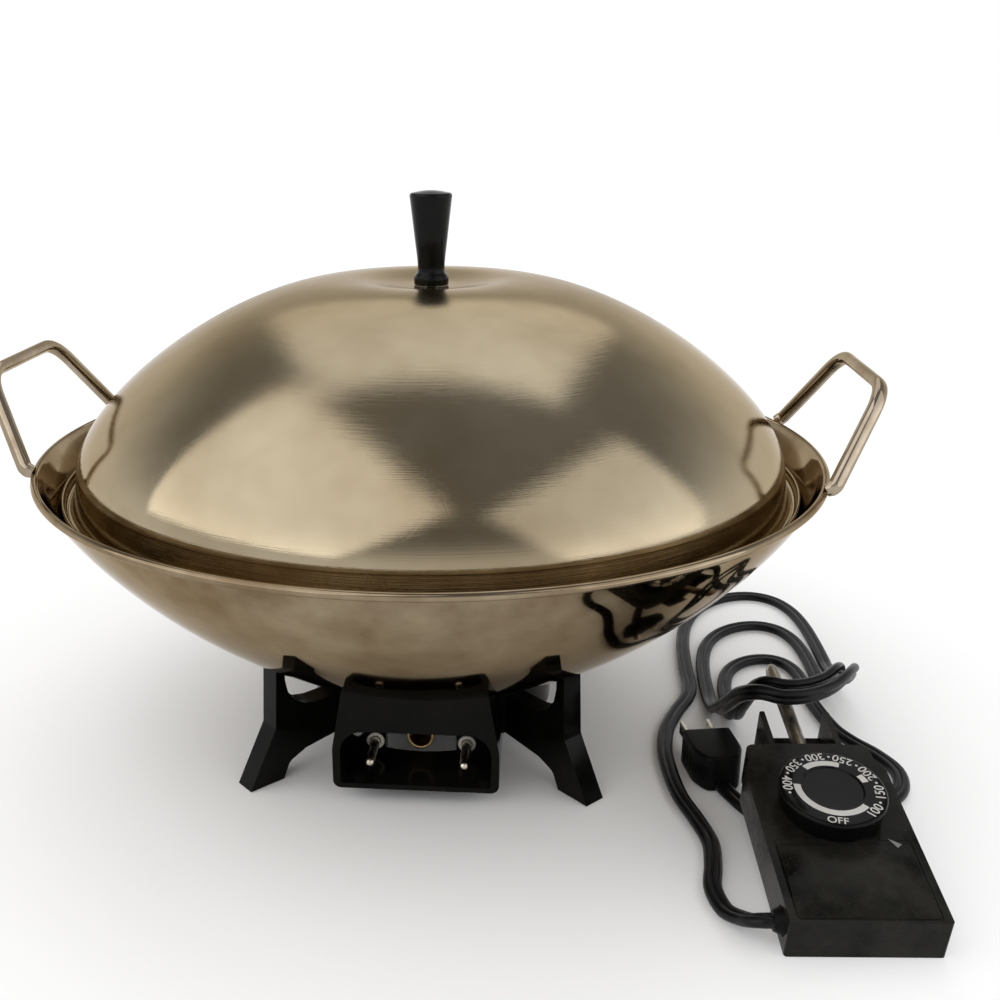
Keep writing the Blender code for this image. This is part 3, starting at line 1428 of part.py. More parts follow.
clear_scene()
STEEL = finish("polished_steel", (0.62, 0.58, 0.53), 0.12, 1.0)
PHENOLIC = finish("black_phenolic", (0.012, 0.012, 0.013), 0.22, 0.0)
ZINC = finish("zinc_plated_steel", (0.55, 0.55, 0.54), 0.35, 1.0)
NICKEL = finish("nickel", (0.66, 0.62, 0.54), 0.3, 1.0)
BRASS = finish("brass", (0.62, 0.45, 0.20), 0.3, 1.0)
ALUMINIUM = finish("cast_aluminium", (0.60, 0.60, 0.60), 0.5, 1.0)
ELEMENT_GREY = finish("element_sheath", (0.20, 0.19, 0.18), 0.5, 1.0)
CERAMIC = finish("white_ceramic", (0.78, 0.75, 0.68), 0.6, 0.0)
PROBE_METAL = finish("probe_metal", (0.30, 0.27, 0.22), 0.4, 1.0)
RUBBER = finish("black_rubber", (0.015, 0.015, 0.016), 0.5, 0.0)
CORD_BLACK = finish("cord_black", (0.014, 0.014, 0.016), 0.4, 0.0)

build_wok()
build_lid(frame("lid_frame"))
build_control()
build_cord()
build_plug()
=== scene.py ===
# %% [markdown]
# # An electric wok with a lift-off lid and a plug-in heat control
#
# The wok is a spun stainless bowl on a black moulded base. Its lid nests inside the rim, and its
# heat control lies beside it under a loose winding of flat cord.
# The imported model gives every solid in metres. This script dresses it: it rebuilds the pieces that
# show with finer shapes, and gives a finish to the small ones that keep their solids.

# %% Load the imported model
import math

import bmesh
import bpy
from mathutils import Matrix, Vector


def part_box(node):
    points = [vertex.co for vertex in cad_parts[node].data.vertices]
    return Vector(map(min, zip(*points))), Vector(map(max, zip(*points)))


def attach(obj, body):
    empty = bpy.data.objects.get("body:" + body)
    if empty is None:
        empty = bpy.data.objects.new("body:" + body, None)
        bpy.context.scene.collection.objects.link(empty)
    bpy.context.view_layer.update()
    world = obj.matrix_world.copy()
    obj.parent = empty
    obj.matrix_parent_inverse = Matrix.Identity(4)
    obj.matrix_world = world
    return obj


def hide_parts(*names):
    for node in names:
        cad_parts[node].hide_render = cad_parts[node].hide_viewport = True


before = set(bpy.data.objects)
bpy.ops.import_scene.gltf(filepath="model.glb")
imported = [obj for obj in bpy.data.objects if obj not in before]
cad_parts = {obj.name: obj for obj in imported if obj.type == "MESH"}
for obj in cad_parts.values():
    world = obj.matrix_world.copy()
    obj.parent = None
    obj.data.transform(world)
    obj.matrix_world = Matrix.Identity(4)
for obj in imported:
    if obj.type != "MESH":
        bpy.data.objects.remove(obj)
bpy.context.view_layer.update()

# %% [markdown]
# ## The camera
#
# The rim of the bowl is a circle, so its ellipse in the picture gives the height and the tilt of the
# camera. The picture is cropped off-centre. Turning the camera would bend the ellipse, so a small
# sideways shift of the lens stands for the crop.

# %% Camera
CAMERA_DOWN, CAMERA_TURN = 18.62, 4.29
camera_data = bpy.data.cameras.new("camera")
camera_data.sensor_width = 36.0
camera_data.lens = 41.95
camera_data.shift_x = 0.0485
camera = bpy.data.objects.new("camera", camera_data)
camera.location = (0.0482, -0.5222, 0.2881)
camera.rotation_euler = (math.radians(90 - CAMERA_DOWN), 0.0, math.radians(CAMERA_TURN))
bpy.context.scene.collection.objects.link(camera)
bpy.context.scene.camera = camera
print("camera at", tuple(round(v, 3) for v in camera.location))

# %% [markdown]
# ## Small tools for the pieces
#
# Every piece ends up the same way: its place is in its mesh, its object sits at the origin, and it
# rides on one body of the model. Round pieces are an outline spun round the Z axis, flat mouldings
# are an outline raised and bevelled, and rods and cords are a section swept along a path. A few
# points and one operator are easier to change later than a mesh that was pushed into shape.


# %% Turning a bmesh into a finished piece
def finished(shape, name, material, body, stands_for=(), place=None, smooth=40.0):
    """Moves a shape into place and hands it to the model as a piece that rides on a body."""
    if place is not None:
        bmesh.ops.transform(shape, matrix=place, verts=shape.verts)
    mesh = bpy.data.meshes.new(name)
    shape.to_mesh(mesh)
    shape.free()
    mesh.shade_smooth()
    mesh.set_sharp_from_angle(angle=math.radians(smooth))
    mesh.materials.append(material)
    piece = bpy.data.objects.new(name, mesh)
    bpy.context.scene.collection.objects.link(piece)
    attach(piece, body)
    if stands_for:
        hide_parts(*stands_for)
    print(name, "faces:", len(mesh.polygons))
    return piece


def dressed(node, material):
    """Gives a solid of the model a better finish."""
    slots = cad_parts[node].data.materials
    slots.clear()
    slots.append(material)


# %% Outlines: rounded corners and oblongs
MOST_OF_A_SIDE = 0.49


def softened(corners, radii, steps=5):
    """Replaces each corner with an arc of its own radius. No radius leaves the corner as it is."""
    outline = []
    for index, radius in enumerate(radii):
        here = Vector(corners[index])
        if radius <= 0.0:
            outline.append(here)
            continue
        to_before = Vector(corners[index - 1]) - here
        to_after = Vector(corners[(index + 1) % len(corners)]) - here
        run = min(radius, to_before.length * MOST_OF_A_SIDE, to_after.length * MOST_OF_A_SIDE)
        start = here + to_before.normalized() * run
        end = here + to_after.normalized() * run
        for step in range(steps + 1):
            share = step / steps
            outline.append(
                start * (1 - share) ** 2 + here * 2 * share * (1 - share) + end * share**2
            )
    return outline


def oblong(left, front, right, rear):
    return ((left, front), (right, front), (right, rear), (left, rear))


# %% Spinning an outline
MERGE = 1e-6


def spun(profile, steps=192):
    """Spins an outline of (radius, height) round Z and welds its seam and its poles."""
    shape = bmesh.new()
    ring = [shape.verts.new((radius, 0.0, height)) for radius, height in profile]
    edges = [shape.edges.new(pair) for pair in zip(ring, ring[1:])]
    bmesh.ops.spin(
        shape, geom=ring + edges, cent=(0, 0, 0), axis=(0, 0, 1), angle=math.tau, steps=steps,
        use_merge=True,
    )
    bmesh.ops.remove_doubles(shape, verts=shape.verts, dist=MERGE)
    bmesh.ops.dissolve_degenerate(shape, edges=shape.edges, dist=MERGE / 10)
    bmesh.ops.recalc_face_normals(shape, faces=shape.faces)
    return shape


# %% Rounding sharp edges, and raising an outline
def rounded(shape, bevel, segments, sharp):
    """Bevels the edges whose faces meet at more than an angle."""
    edges = [edge for edge in shape.edges if edge.calc_face_angle(0.0) > math.radians(sharp)]
    bmesh.ops.bevel(
        shape, geom=edges, offset=bevel, offset_type="OFFSET", segments=segments, profile=0.5,
        affect="EDGES", clamp_overlap=True, material=-1,
    )


def raised(outline, low, high, bevel=0.0, segments=3):
    """Raises a flat outline between two heights and rounds its sharp edges."""
    shape = bmesh.new()
    face = shape.faces.new([shape.verts.new((point[0], point[1], low)) for point in outline])
    grown = bmesh.ops.extrude_face_region(shape, geom=[face])
    lifted = [item for item in grown["geom"] if isinstance(item, bmesh.types.BMVert)]
    bmesh.ops.translate(shape, vec=(0.0, 0.0, high - low), verts=lifted)
    bmesh.ops.recalc_face_normals(shape, faces=shape.faces)
    if bevel > 0.0:
        rounded(shape, bevel, segments, sharp=30.0)
    return shape


# %% Sweeping a section along a path
def swept(name, path, section, material, body, stands_for=(), radii=None, tilts=None,
          upright=True):
    """Sweeps a closed section along a path. The curve is read as a mesh and then thrown away."""
    outline = bpy.data.curves.new(name + "_section", "CURVE")
    outline.dimensions = "2D"
    line = outline.splines.new("POLY")
    line.points.add(len(section) - 1)
    for point, (x, y) in zip(line.points, section):
        point.co = (x, y, 0.0, 1.0)
    line.use_cyclic_u = True
    outline_object = bpy.data.objects.new(name + "_section", outline)
    rail = bpy.data.curves.new(name + "_rail", "CURVE")
    rail.dimensions = "3D"
    rail.twist_mode = "Z_UP" if upright else "MINIMUM"
    rail.bevel_mode = "OBJECT"
    rail.bevel_object = outline_object
    rail.use_fill_caps = True
    line = rail.splines.new("POLY")
    line.points.add(len(path) - 1)
    for index, (point, place) in enumerate(zip(line.points, path)):
        point.co = (*place, 1.0)
        point.radius = radii[index] if radii else 1.0
        point.tilt = tilts[index] if tilts else 0.0
    rail_object = bpy.data.objects.new(name + "_rail", rail)
    for helper in (outline_object, rail_object):
        bpy.context.scene.collection.objects.link(helper)
    bpy.context.view_layer.update()
    graph = bpy.context.evaluated_depsgraph_get()
    shape = bmesh.new()
    shape.from_mesh(rail_object.evaluated_get(graph).to_mesh())
    bmesh.ops.remove_doubles(shape, verts=shape.verts, dist=MERGE)
    bmesh.ops.recalc_face_normals(shape, faces=shape.faces)
    for helper in (rail_object, outline_object):
        data = helper.data
        bpy.data.objects.remove(helper)
        bpy.data.curves.remove(data)
    return finished(shape, name, material, body, stands_for, smooth=50.0)


# %% A finer copy of a solid of the model
def refined(node, name, material, body, bevel, segments):
    """Copies a solid, joins its triangles into flat faces, and rounds its sharp edges."""
    shape = bmesh.new()
    shape.from_mesh(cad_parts[node].data)
    bmesh.ops.remove_doubles(shape, verts=shape.verts, dist=5 * MERGE)
    bmesh.ops.dissolve_limit(
        shape, angle_limit=math.radians(1.0), verts=shape.verts, edges=shape.edges
    )
    rounded(shape, bevel, segments, sharp=32.0)
    piece = finished(shape, name, material, body, (node,), smooth=50.0)
    weighted = piece.modifiers.new("flat_faces_stay_flat", "WEIGHTED_NORMAL")
    weighted.keep_sharp = True
    return piece


# %% [markdown]
# ## Effects that several finishes share
#
# Wear is never even. One group of nodes gives soft patches, as where a hand or steam has been, and
# fine specks. The other gives the faint rings that spinning and scouring leave in a round piece, and
# stray scratches. A picture of scratches would repeat and blur close up, so both are worked out
# from the place on the object. They give masks and heights only, and each finish decides what to do
# with them.


# %% Helpers for nodes
def feed(socket, value):
    """Links a socket to another node's output, or sets it to a plain value."""
    if isinstance(value, bpy.types.NodeSocket):
        socket.id_data.links.new(value, socket)
    else:
        socket.default_value = value


def add_node(tree, kind, inputs=None, **options):
    """Adds a shader node, sets its options, and feeds its inputs by their names."""
    node = tree.nodes.new(kind)
    for option, value in options.items():
        setattr(node, option, value)
    for label, value in (inputs or {}).items():
        feed(node.inputs[label], value)
    return node


def math_node(tree, operation, first, second=None):
    node = add_node(tree, "ShaderNodeMath", operation=operation)
    feed(node.inputs[0], first)
    if second is not None:
        feed(node.inputs[1], second)
    return node.outputs[0]


def object_place(tree):
    return add_node(tree, "ShaderNodeTexCoord").outputs["Object"]


def new_group(name, inputs, outputs):
    """A shader group with float inputs and outputs, and its two end nodes."""
    group = bpy.data.node_groups.new(name, "ShaderNodeTree")
    for label, value in inputs.items():
        socket = group.interface.new_socket(label, in_out="INPUT", socket_type="NodeSocketFloat")
        socket.default_value = value
    for label in outputs:
        group.interface.new_socket(label, in_out="OUTPUT", socket_type="NodeSocketFloat")
    return group, group.nodes.new("NodeGroupInput"), group.nodes.new("NodeGroupOutput")


# %% Soft patches and specks
def build_patches():
    """Broad soft patches and fine specks, as two masks from noise at two sizes."""
    group, given, made = new_group(
        "soft_patches", {"Patch size": 40.0, "Speck size": 900.0, "Speck amount": 0.3},
        ("Patches", "Specks"),
    )
    place = object_place(group)
    broad = add_node(group, "ShaderNodeTexNoise", {
        "Vector": place, "Scale": given.outputs["Patch size"], "Detail": 4.0, "Roughness": 0.6})
    patch = add_node(group, "ShaderNodeMapRange", {
        "Value": broad.outputs["Fac"], "From Min": 0.36, "From Max": 0.64})
    fine = add_node(group, "ShaderNodeTexNoise", {
        "Vector": place, "Scale": given.outputs["Speck size"], "Detail": 2.0})
    speck = add_node(group, "ShaderNodeMapRange", {
        "Value": fine.outputs["Fac"], "From Min": 0.64, "From Max": 0.74})
    specks = math_node(group, "MULTIPLY", speck.outputs["Result"], given.outputs["Speck amount"])
    feed(made.inputs["Patches"], patch.outputs["Result"])
    feed(made.inputs["Specks"], specks)
    return group


patches = build_patches()
print("group:", patches.name)

# %% Rings left by spinning, and stray scratches
ROUND_THE_PIECE = 2.2


def build_rings():
    """Noise that is fine from the axis outwards and slow round it, and thin lines between cells."""
    group, given, made = new_group(
        "spun_rings", {"Ring scale": 900.0, "Scratch scale": 60.0}, ("Rings", "Scratches")
    )
    place = object_place(group)
    parts = add_node(group, "ShaderNodeSeparateXYZ", {"Vector": place})
    x, y, z = (parts.outputs[label] for label in "XYZ")
    squares = (math_node(group, "MULTIPLY", side, side) for side in (x, y))
    across = math_node(group, "SQRT", math_node(group, "ADD", *squares))
    along_face = math_node(group, "SUBTRACT", across, z)
    turning = math_node(group, "ARCTAN2", y, x)
    sine, cosine = (math_node(group, kind, turning) for kind in ("SINE", "COSINE"))
    flow = add_node(group, "ShaderNodeCombineXYZ", {
        "X": math_node(group, "MULTIPLY", along_face, given.outputs["Ring scale"]),
        "Y": math_node(group, "MULTIPLY", sine, ROUND_THE_PIECE),
        "Z": math_node(group, "MULTIPLY", cosine, ROUND_THE_PIECE)})
    lines = add_node(group, "ShaderNodeTexNoise", {
        "Vector": flow.outputs[0], "Scale": 1.0, "Detail": 5.0, "Roughness": 0.65})
    cells = add_node(group, "ShaderNodeTexVoronoi", {
        "Vector": place, "Scale": given.outputs["Scratch scale"]}, feature="DISTANCE_TO_EDGE")
    hair = add_node(group, "ShaderNodeMapRange", {
        "Value": cells.outputs["Distance"], "From Min": 0.0, "From Max": 0.012,
        "To Min": 1.0, "To Max": 0.0})
    feed(made.inputs["Rings"], lines.outputs["Fac"])
    feed(made.inputs["Scratches"], hair.outputs["Result"])
    return group


rings = build_rings()
print("group:", rings.name)

# %% [markdown]
# ## Finishes
#
# A finish is a Principled BSDF whose even values are set on the shader, and whose uneven ones come
# from the groups. Years of heat have left the stainless steel slightly straw coloured, with duller
# patches, so it isn't a neutral mirror. The black mouldings are phenolic, hard and glossy, with a
# film of dust and grease in places. On the control's case that film is lighter, because it is also a
# painted sheen.


# %% Helpers for finishes
def new_finish(name, colour, roughness, metallic, anisotropy=0.0, specular=0.5):
    material = bpy.data.materials.new(name)
    material.use_nodes = True
    shader = material.node_tree.nodes["Principled BSDF"]
    shader.inputs["Base Color"].default_value = (*colour, 1.0)
    shader.inputs["Roughness"].default_value = roughness
    shader.inputs["Metallic"].default_value = metallic
    shader.inputs["Anisotropic"].default_value = anisotropy
    shader.inputs["Specular IOR Level"].default_value = specular
    return material, material.node_tree, shader


def use_group(tree, group, **values):
    inputs = {label.replace("_", " "): value for label, value in values.items()}
    return add_node(tree, "ShaderNodeGroup", inputs, node_tree=group)


def vary_colour(tree, shader, mask, first, second):
    """Mixes two colours by a mask and feeds the shader's colour."""
    mix = add_node(tree, "ShaderNodeMix", {"Factor": mask, "A": (*first, 1.0), "B": (*second, 1.0)},
                   data_type="RGBA")
    feed(shader.inputs["Base Color"], mix.outputs["Result"])


def between(tree, mask, low, high):
    """Spreads a mask between two values."""
    spread = add_node(tree, "ShaderNodeMapRange", {"Value": mask, "To Min": low, "To Max": high})
    return spread.outputs["Result"]


def add_bump(tree, shader, height, strength, distance):
    bump = add_node(tree, "ShaderNodeBump", {
        "Height": height, "Strength": strength, "Distance": distance})
    feed(shader.inputs["Normal"], bump.outputs["Normal"])


# %% [markdown]
# ### Stainless steel
#
# All three steels are one recipe with different amounts. The lid is brushed round its axis, so its
# rings are deep and its highlights are drawn out. The bowl was polished and has dulled in patches,
# and the handles are plain drawn bar. The scoured top of the lid is rougher than its steep sides.

# %% The recipe for steel
STEEL_TINT = (0.76, 0.68, 0.57, 1.0)
PATCH_WEIGHT, RING_WEIGHT, SCRATCH_WEIGHT = 0.6, 0.5, 0.2
SCRATCH_DEPTH = 0.12
SATIN_FROM, SATIN_FULL = 0.160, 0.208


def steel(name, clean, stained, roughness, brushing, anisotropy, patch_size, satin=0.0):
    """Spun stainless: stained in patches, with rings from the spinning and a few scratches."""
    material, tree, shader = new_finish(name, clean, roughness[0], metallic=1.0,
                                        anisotropy=anisotropy)
    shader.inputs["Specular Tint"].default_value = STEEL_TINT
    wear = use_group(tree, patches, Patch_size=patch_size, Speck_size=420.0, Speck_amount=0.5)
    worked = use_group(tree, rings, Ring_scale=1500.0, Scratch_scale=44.0)
    vary_colour(tree, shader, wear.outputs["Patches"], clean, stained)
    dull = wear.outputs["Specks"]
    for output, weight in ((wear.outputs["Patches"], PATCH_WEIGHT),
                           (worked.outputs["Rings"], RING_WEIGHT),
                           (worked.outputs["Scratches"], SCRATCH_WEIGHT)):
        dull = math_node(tree, "ADD", dull, math_node(tree, "MULTIPLY", output, weight))
    rough = between(tree, dull, *roughness)
    if satin:
        parts = add_node(tree, "ShaderNodeSeparateXYZ", {"Vector": object_place(tree)})
        rise = add_node(tree, "ShaderNodeMapRange", {
            "Value": parts.outputs["Z"], "From Min": SATIN_FROM, "From Max": SATIN_FULL,
        }, interpolation_type="SMOOTHSTEP")
        scoured = math_node(tree, "MULTIPLY", rise.outputs["Result"], satin)
        rough = math_node(tree, "ADD", rough, scoured)
    feed(shader.inputs["Roughness"], rough)
    cut = math_node(tree, "MULTIPLY", worked.outputs["Scratches"], SCRATCH_DEPTH)
    height = math_node(tree, "SUBTRACT", worked.outputs["Rings"], cut)
    add_bump(tree, shader, height, strength=brushing, distance=0.00004)
    return material


# %% The three steels
steel_lid = steel("steel_lid", clean=(0.42, 0.356, 0.250), stained=(0.29, 0.231, 0.148),
                  roughness=(0.02, 0.12), brushing=0.80, anisotropy=0.45, patch_size=9.0,
                  satin=0.10)
steel_bowl = steel("steel_bowl", clean=(0.34, 0.275, 0.190), stained=(0.19, 0.137, 0.084),
                   roughness=(0.010, 0.11), brushing=0.08, anisotropy=0.1, patch_size=24.0)
steel_handle = steel("steel_handle", clean=(0.40, 0.335, 0.260), stained=(0.29, 0.230, 0.160),
                     roughness=(0.06, 0.22), brushing=0.1, anisotropy=0.0, patch_size=60.0)
print("steels:", steel_lid.name, steel_bowl.name, steel_handle.name)

# %% [markdown]
# ### Black mouldings, ceramic and print
#
# Phenolic, rubber, vinyl, glazed ceramic and screen print are all a smooth coloured surface under a
# thin film of dust, so they share one recipe as well. What tells them apart is how rough they are,
# how much they shine and how strongly the film shows. On the control's case the film's colour is
# partly dust and partly a painted sheen. The wok's blacks are darker than they look:
# what the eye sees on them is mostly the light that they reflect.

# %% The recipe for mouldings
FILM_WEIGHT = 0.35


def moulding(name, clean, dust_and_sheen, roughness, bump, specks=0.35, patch_size=35.0, specular=0.08):
    """A smooth moulded surface with a film in patches and specks of dust; the film can also carry a
    painted sheen.
    """
    material, tree, shader = new_finish(name, clean, roughness[0], metallic=0.0,
                                        specular=specular)
    wear = use_group(tree, patches, Patch_size=patch_size, Speck_size=1500.0, Speck_amount=specks)
    thin = math_node(tree, "MULTIPLY", wear.outputs["Patches"], FILM_WEIGHT)
    film = math_node(tree, "MAXIMUM", thin, wear.outputs["Specks"])
    vary_colour(tree, shader, film, clean, dust_and_sheen)
    feed(shader.inputs["Roughness"], between(tree, wear.outputs["Patches"], *roughness))
    add_bump(tree, shader, wear.outputs["Specks"], strength=bump, distance=0.00005)
    return material


# %% The mouldings and the prints
phenolic = moulding("phenolic_gloss", (0.0024, 0.0026, 0.0024), (0.012, 0.011, 0.009),
                    roughness=(0.07, 0.20), bump=0.3)
# The case's film colour is far lighter than the other blacks': partly dust and grease, partly a
# painted sheen, a soft reflection put into the colour of the case.
phenolic_case = moulding("phenolic_case", (0.0026, 0.0028, 0.0026), (0.060, 0.057, 0.045),
                         roughness=(0.09, 0.34), bump=0.5, specks=0.6)
phenolic_knob = moulding("phenolic_knob", (0.0024, 0.0030, 0.0028), (0.010, 0.010, 0.008),
                         roughness=(0.05, 0.12), bump=0.1, specks=0.1, specular=0.11)
vinyl = moulding("vinyl_cord", (0.0036, 0.0036, 0.0040), (0.012, 0.012, 0.014),
                 roughness=(0.28, 0.42), bump=0.4, specks=0.2, patch_size=90.0, specular=0.2)
rubber = moulding("rubber_black", (0.0038, 0.0038, 0.0038), (0.013, 0.013, 0.012),
                  roughness=(0.36, 0.50), bump=0.4, specks=0.3, patch_size=60.0)
ceramic = moulding("ceramic_white", (0.74, 0.71, 0.64), (0.58, 0.54, 0.46),
                   roughness=(0.45, 0.62), bump=0.2, specks=0.2, patch_size=120.0, specular=0.5)
print_silver = moulding("print_silver", (0.58, 0.57, 0.54), (0.42, 0.41, 0.38),
                        roughness=(0.38, 0.52), bump=0.1, specks=0.3, patch_size=160.0)
print_worn = moulding("print_worn", (0.20, 0.20, 0.19), (0.10, 0.10, 0.095),
                      roughness=(0.38, 0.52), bump=0.1, specks=0.4, patch_size=160.0)
print("blacks:", phenolic.name, phenolic_case.name, phenolic_knob.name, vinyl.name, rubber.name)


# %% Small metals
def plain_metal(name, clean, stained, roughness, bump=0.1):
    """A small metal part: plated, cast or drawn, and a little stained."""
    material, tree, shader = new_finish(name, clean, roughness[0], metallic=1.0)
    wear = use_group(tree, patches, Patch_size=180.0, Speck_size=2200.0, Speck_amount=0.4)
    vary_colour(tree, shader, wear.outputs["Patches"], clean, stained)
    feed(shader.inputs["Roughness"], between(tree, wear.outputs["Patches"], *roughness))
    add_bump(tree, shader, wear.outputs["Specks"], strength=bump, distance=0.00003)
    return material


nickel = plain_metal("nickel_plate", (0.70, 0.65, 0.56), (0.50, 0.45, 0.37), (0.14, 0.34))
brass = plain_metal("brass_plain", (0.66, 0.47, 0.22), (0.42, 0.29, 0.13), (0.18, 0.40))
zinc = plain_metal("zinc_plate", (0.60, 0.61, 0.62), (0.44, 0.44, 0.44), (0.26, 0.42))
cast_aluminium = plain_metal("cast_aluminium", (0.62, 0.62, 0.61), (0.50, 0.50, 0.49),
                             (0.40, 0.56), bump=0.6)
sheath = plain_metal("element_sheath", (0.24, 0.22, 0.20), (0.13, 0.12, 0.11),
                     (0.38, 0.55), bump=0.4)
probe_grey = plain_metal("probe_grey", (0.36, 0.33, 0.28), (0.24, 0.21, 0.17),
                         (0.28, 0.46), bump=0.3)
print("metals:", nickel.name, brass.name, zinc.name, cast_aluminium.name, sheath.name,
      probe_grey.name)

# %% [markdown]
# ## The cord
#
# The cord is a flat two-core lead, two round conductors side by side with a groove between them,
# about 7.4 mm wide. All of it shows: it leaves the side of the control, bends back along it, and is
# wound loosely from far to near over the probe, so it stands up in a hump there. A simulated rope
# would fall differently each time a size changes, so the route is drawn: points for the two ends,
# and a formula for the loops. It is the route that the solid cord follows.

# %% The frames of the control and the plug, which the ends of the cord depend on
TOUCH_GAP = 0.0003
CONTROL_PLACE, CONTROL_TURN, CONTROL_TILT = (0.1411, -0.1712, 0.0), 3.6, 10.8
RELIEF_OUTSIDE, RELIEF_PLACE, RELIEF_HEIGHT = 0.0032, 0.0085, 0.00875
PLUG_CENTRE, PLUG_TURN = (0.1320, -0.0520, 0.0), 10
PLUG_WIDTH, PLUG_LENGTH, PLUG_HEIGHT, PLUG_ENTRY_HEIGHT = 0.0225, 0.0270, 0.0170, 0.0040


def turned(degrees, axis):
    return Matrix.Rotation(math.radians(degrees), 4, axis)


control_frame = (
    Matrix.Translation(CONTROL_PLACE) @ turned(CONTROL_TURN, "Z") @ turned(CONTROL_TILT, "X")
)
plug_frame = Matrix.Translation(PLUG_CENTRE) @ turned(PLUG_TURN, "Z")
relief_out = (control_frame.to_3x3() @ Vector((-1.0, 0.0, 0.0))).normalized()
cord_exit = control_frame @ Vector((-RELIEF_OUTSIDE - TOUCH_GAP, RELIEF_PLACE, RELIEF_HEIGHT))
plug_out = (plug_frame.to_3x3() @ Vector((0.0, -1.0, 0.0))).normalized()
plug_entry = plug_frame @ Vector((0.0, -PLUG_LENGTH / 2, PLUG_ENTRY_HEIGHT))
print("the cord leaves at", tuple(round(v, 4) for v in cord_exit))

# %% The two ends of the route, as points on the table
LEAD_ROUTE = (
    (0.1285, -0.1590, 0.0032), (0.1230, -0.1500, 0.0), (0.1205, -0.1375, 0.0),
    (0.1225, -0.1235, 0.0), (0.1235, -0.1080, 0.0), (0.1200, -0.0920, 0.0),
    (0.1150, -0.0750, 0.0), (0.1125, -0.0560, 0.0), (0.1120, -0.0360, 0.0),
    (0.1150, -0.0160, 0.0), (0.1215, 0.0020, 0.0), (0.1280, 0.0160, 0.0),
)
TAIL_ROUTE = (
    (0.1950, -0.0080, 0.0), (0.2010, -0.0210, 0.0), (0.2095, -0.0330, 0.0),
    (0.2150, -0.0470, 0.0), (0.2125, -0.0620, 0.0), (0.2025, -0.0740, 0.0),
    (0.1890, -0.0820, 0.0), (0.1740, -0.0870, 0.0), (0.1590, -0.0890, 0.0),
    (0.1460, -0.0870, 0.0),
)
print("points of the lead and the tail:", len(LEAD_ROUTE), len(TAIL_ROUTE))

# %% The winding, as a formula
CORD_RADIUS = 0.0027
WINDING_TURNS, WINDING_POINTS, WINDING_CENTRE = 2.5, 60, 0.1710
WINDING_HALF_WIDTH, WINDING_HALF_WIDTH_STEP = 0.0400, 0.0082
WINDING_NEAR, WINDING_NEAR_STEP = -0.0610, 0.0096
WINDING_FAR, WINDING_FAR_STEP = 0.1600, 0.0430
WINDING_SQUARE_SHARE, WINDING_SKEW_SHARE = 0.09, 0.50
WINDING_LIFT, WINDING_TOP_SHARE, WINDING_HUMP_SHARE = 0.0405, 0.15, 0.50


def ramp(value, start, run):
    """Rises from 0 to 1 over a run."""
    return min(max((value - start) / run, 0.0), 1.0)


def winding_point(turns):
    """A point of the winding: its loops shrink inwards, and their near ends rise over the probe."""
    angle = math.pi - math.tau * turns
    half = WINDING_HALF_WIDTH - WINDING_HALF_WIDTH_STEP * turns
    near = WINDING_NEAR + WINDING_NEAR_STEP * turns
    far = WINDING_FAR - WINDING_FAR_STEP * turns
    wave = math.cos(angle) - WINDING_SQUARE_SHARE * math.cos(3 * angle)
    across = half * wave / (1 - WINDING_SQUARE_SHARE)
    y = (near + far) / 2 + (far - near) / 2 * math.sin(angle) + WINDING_SKEW_SHARE * across
    from_near = abs(math.remainder(angle + math.pi / 2, math.tau)) / math.pi
    fall = ramp(from_near, WINDING_TOP_SHARE, WINDING_HUMP_SHARE - WINDING_TOP_SHARE)
    lift = WINDING_LIFT * (1 + math.cos(math.pi * fall)) / 2
    return Vector((WINDING_CENTRE + across, y, CORD_RADIUS + lift))


winding = [winding_point(WINDING_TURNS * step / WINDING_POINTS) for step in range(WINDING_POINTS + 1)]
print("the winding's top:", round(max(point.z for point in winding), 4))


# %% One smooth line through the whole route
def curve_between(before, start, end, after, share):
    """A Catmull-Rom curve: it passes through start and end, and heads as its neighbours say."""
    return (
        2 * start + (end - before) * share + (2 * before - 5 * start + 4 * end - after) * share**2
        + (3 * start - before - 3 * end + after) * share**3
    ) / 2


def smooth_line(points, spacing, fineness=16):
    """A curve through the points, read at an even spacing."""
    padded = [2 * points[0] - points[1], *points, 2 * points[-1] - points[-2]]
    fine = [
        curve_between(*padded[index - 1 : index + 3], step / fineness)
        for index in range(1, len(padded) - 2) for step in range(fineness)
    ]
    fine.append(points[-1])
    travelled = [0.0]
    for first, second in zip(fine, fine[1:]):
        travelled.append(travelled[-1] + (second - first).length)
    count = max(round(travelled[-1] / spacing), 1)
    line, index = [], 0
    for step in range(count + 1):
        wanted = travelled[-1] * step / count
        while index < len(fine) - 2 and travelled[index + 1] < wanted:
            index += 1
        run = max(travelled[index + 1] - travelled[index], 1e-9)
        line.append(fine[index].lerp(fine[index + 1], min((wanted - travelled[index]) / run, 1.0)))
    return line


# %% The cord's line
CORD_SPACING = 0.003
STRAIGHT_RUN = 2 * CORD_RADIUS


def on_table(route):
    return [Vector((x, y, CORD_RADIUS + lift)) for x, y, lift in route]


lead_points = [cord_exit, cord_exit + relief_out * STRAIGHT_RUN, *on_table(LEAD_ROUTE)]
tail_points = on_table(TAIL_ROUTE)
tail_points += [plug_entry + plug_out * STRAIGHT_RUN, plug_entry + plug_out * TOUCH_GAP]
cord_line = smooth_line([*lead_points, *winding, *tail_points], CORD_SPACING)
for point in cord_line:
    point.z = max(point.z, CORD_RADIUS)

# %% [markdown]
# ### The flat section
#
# A flat cord lies on its broad side and bends easily only across it. Where it climbs over the probe
# it turns on edge, and it wanders a little where it is off the table. The section is drawn once, and
# the curve's tilt turns it along the way.

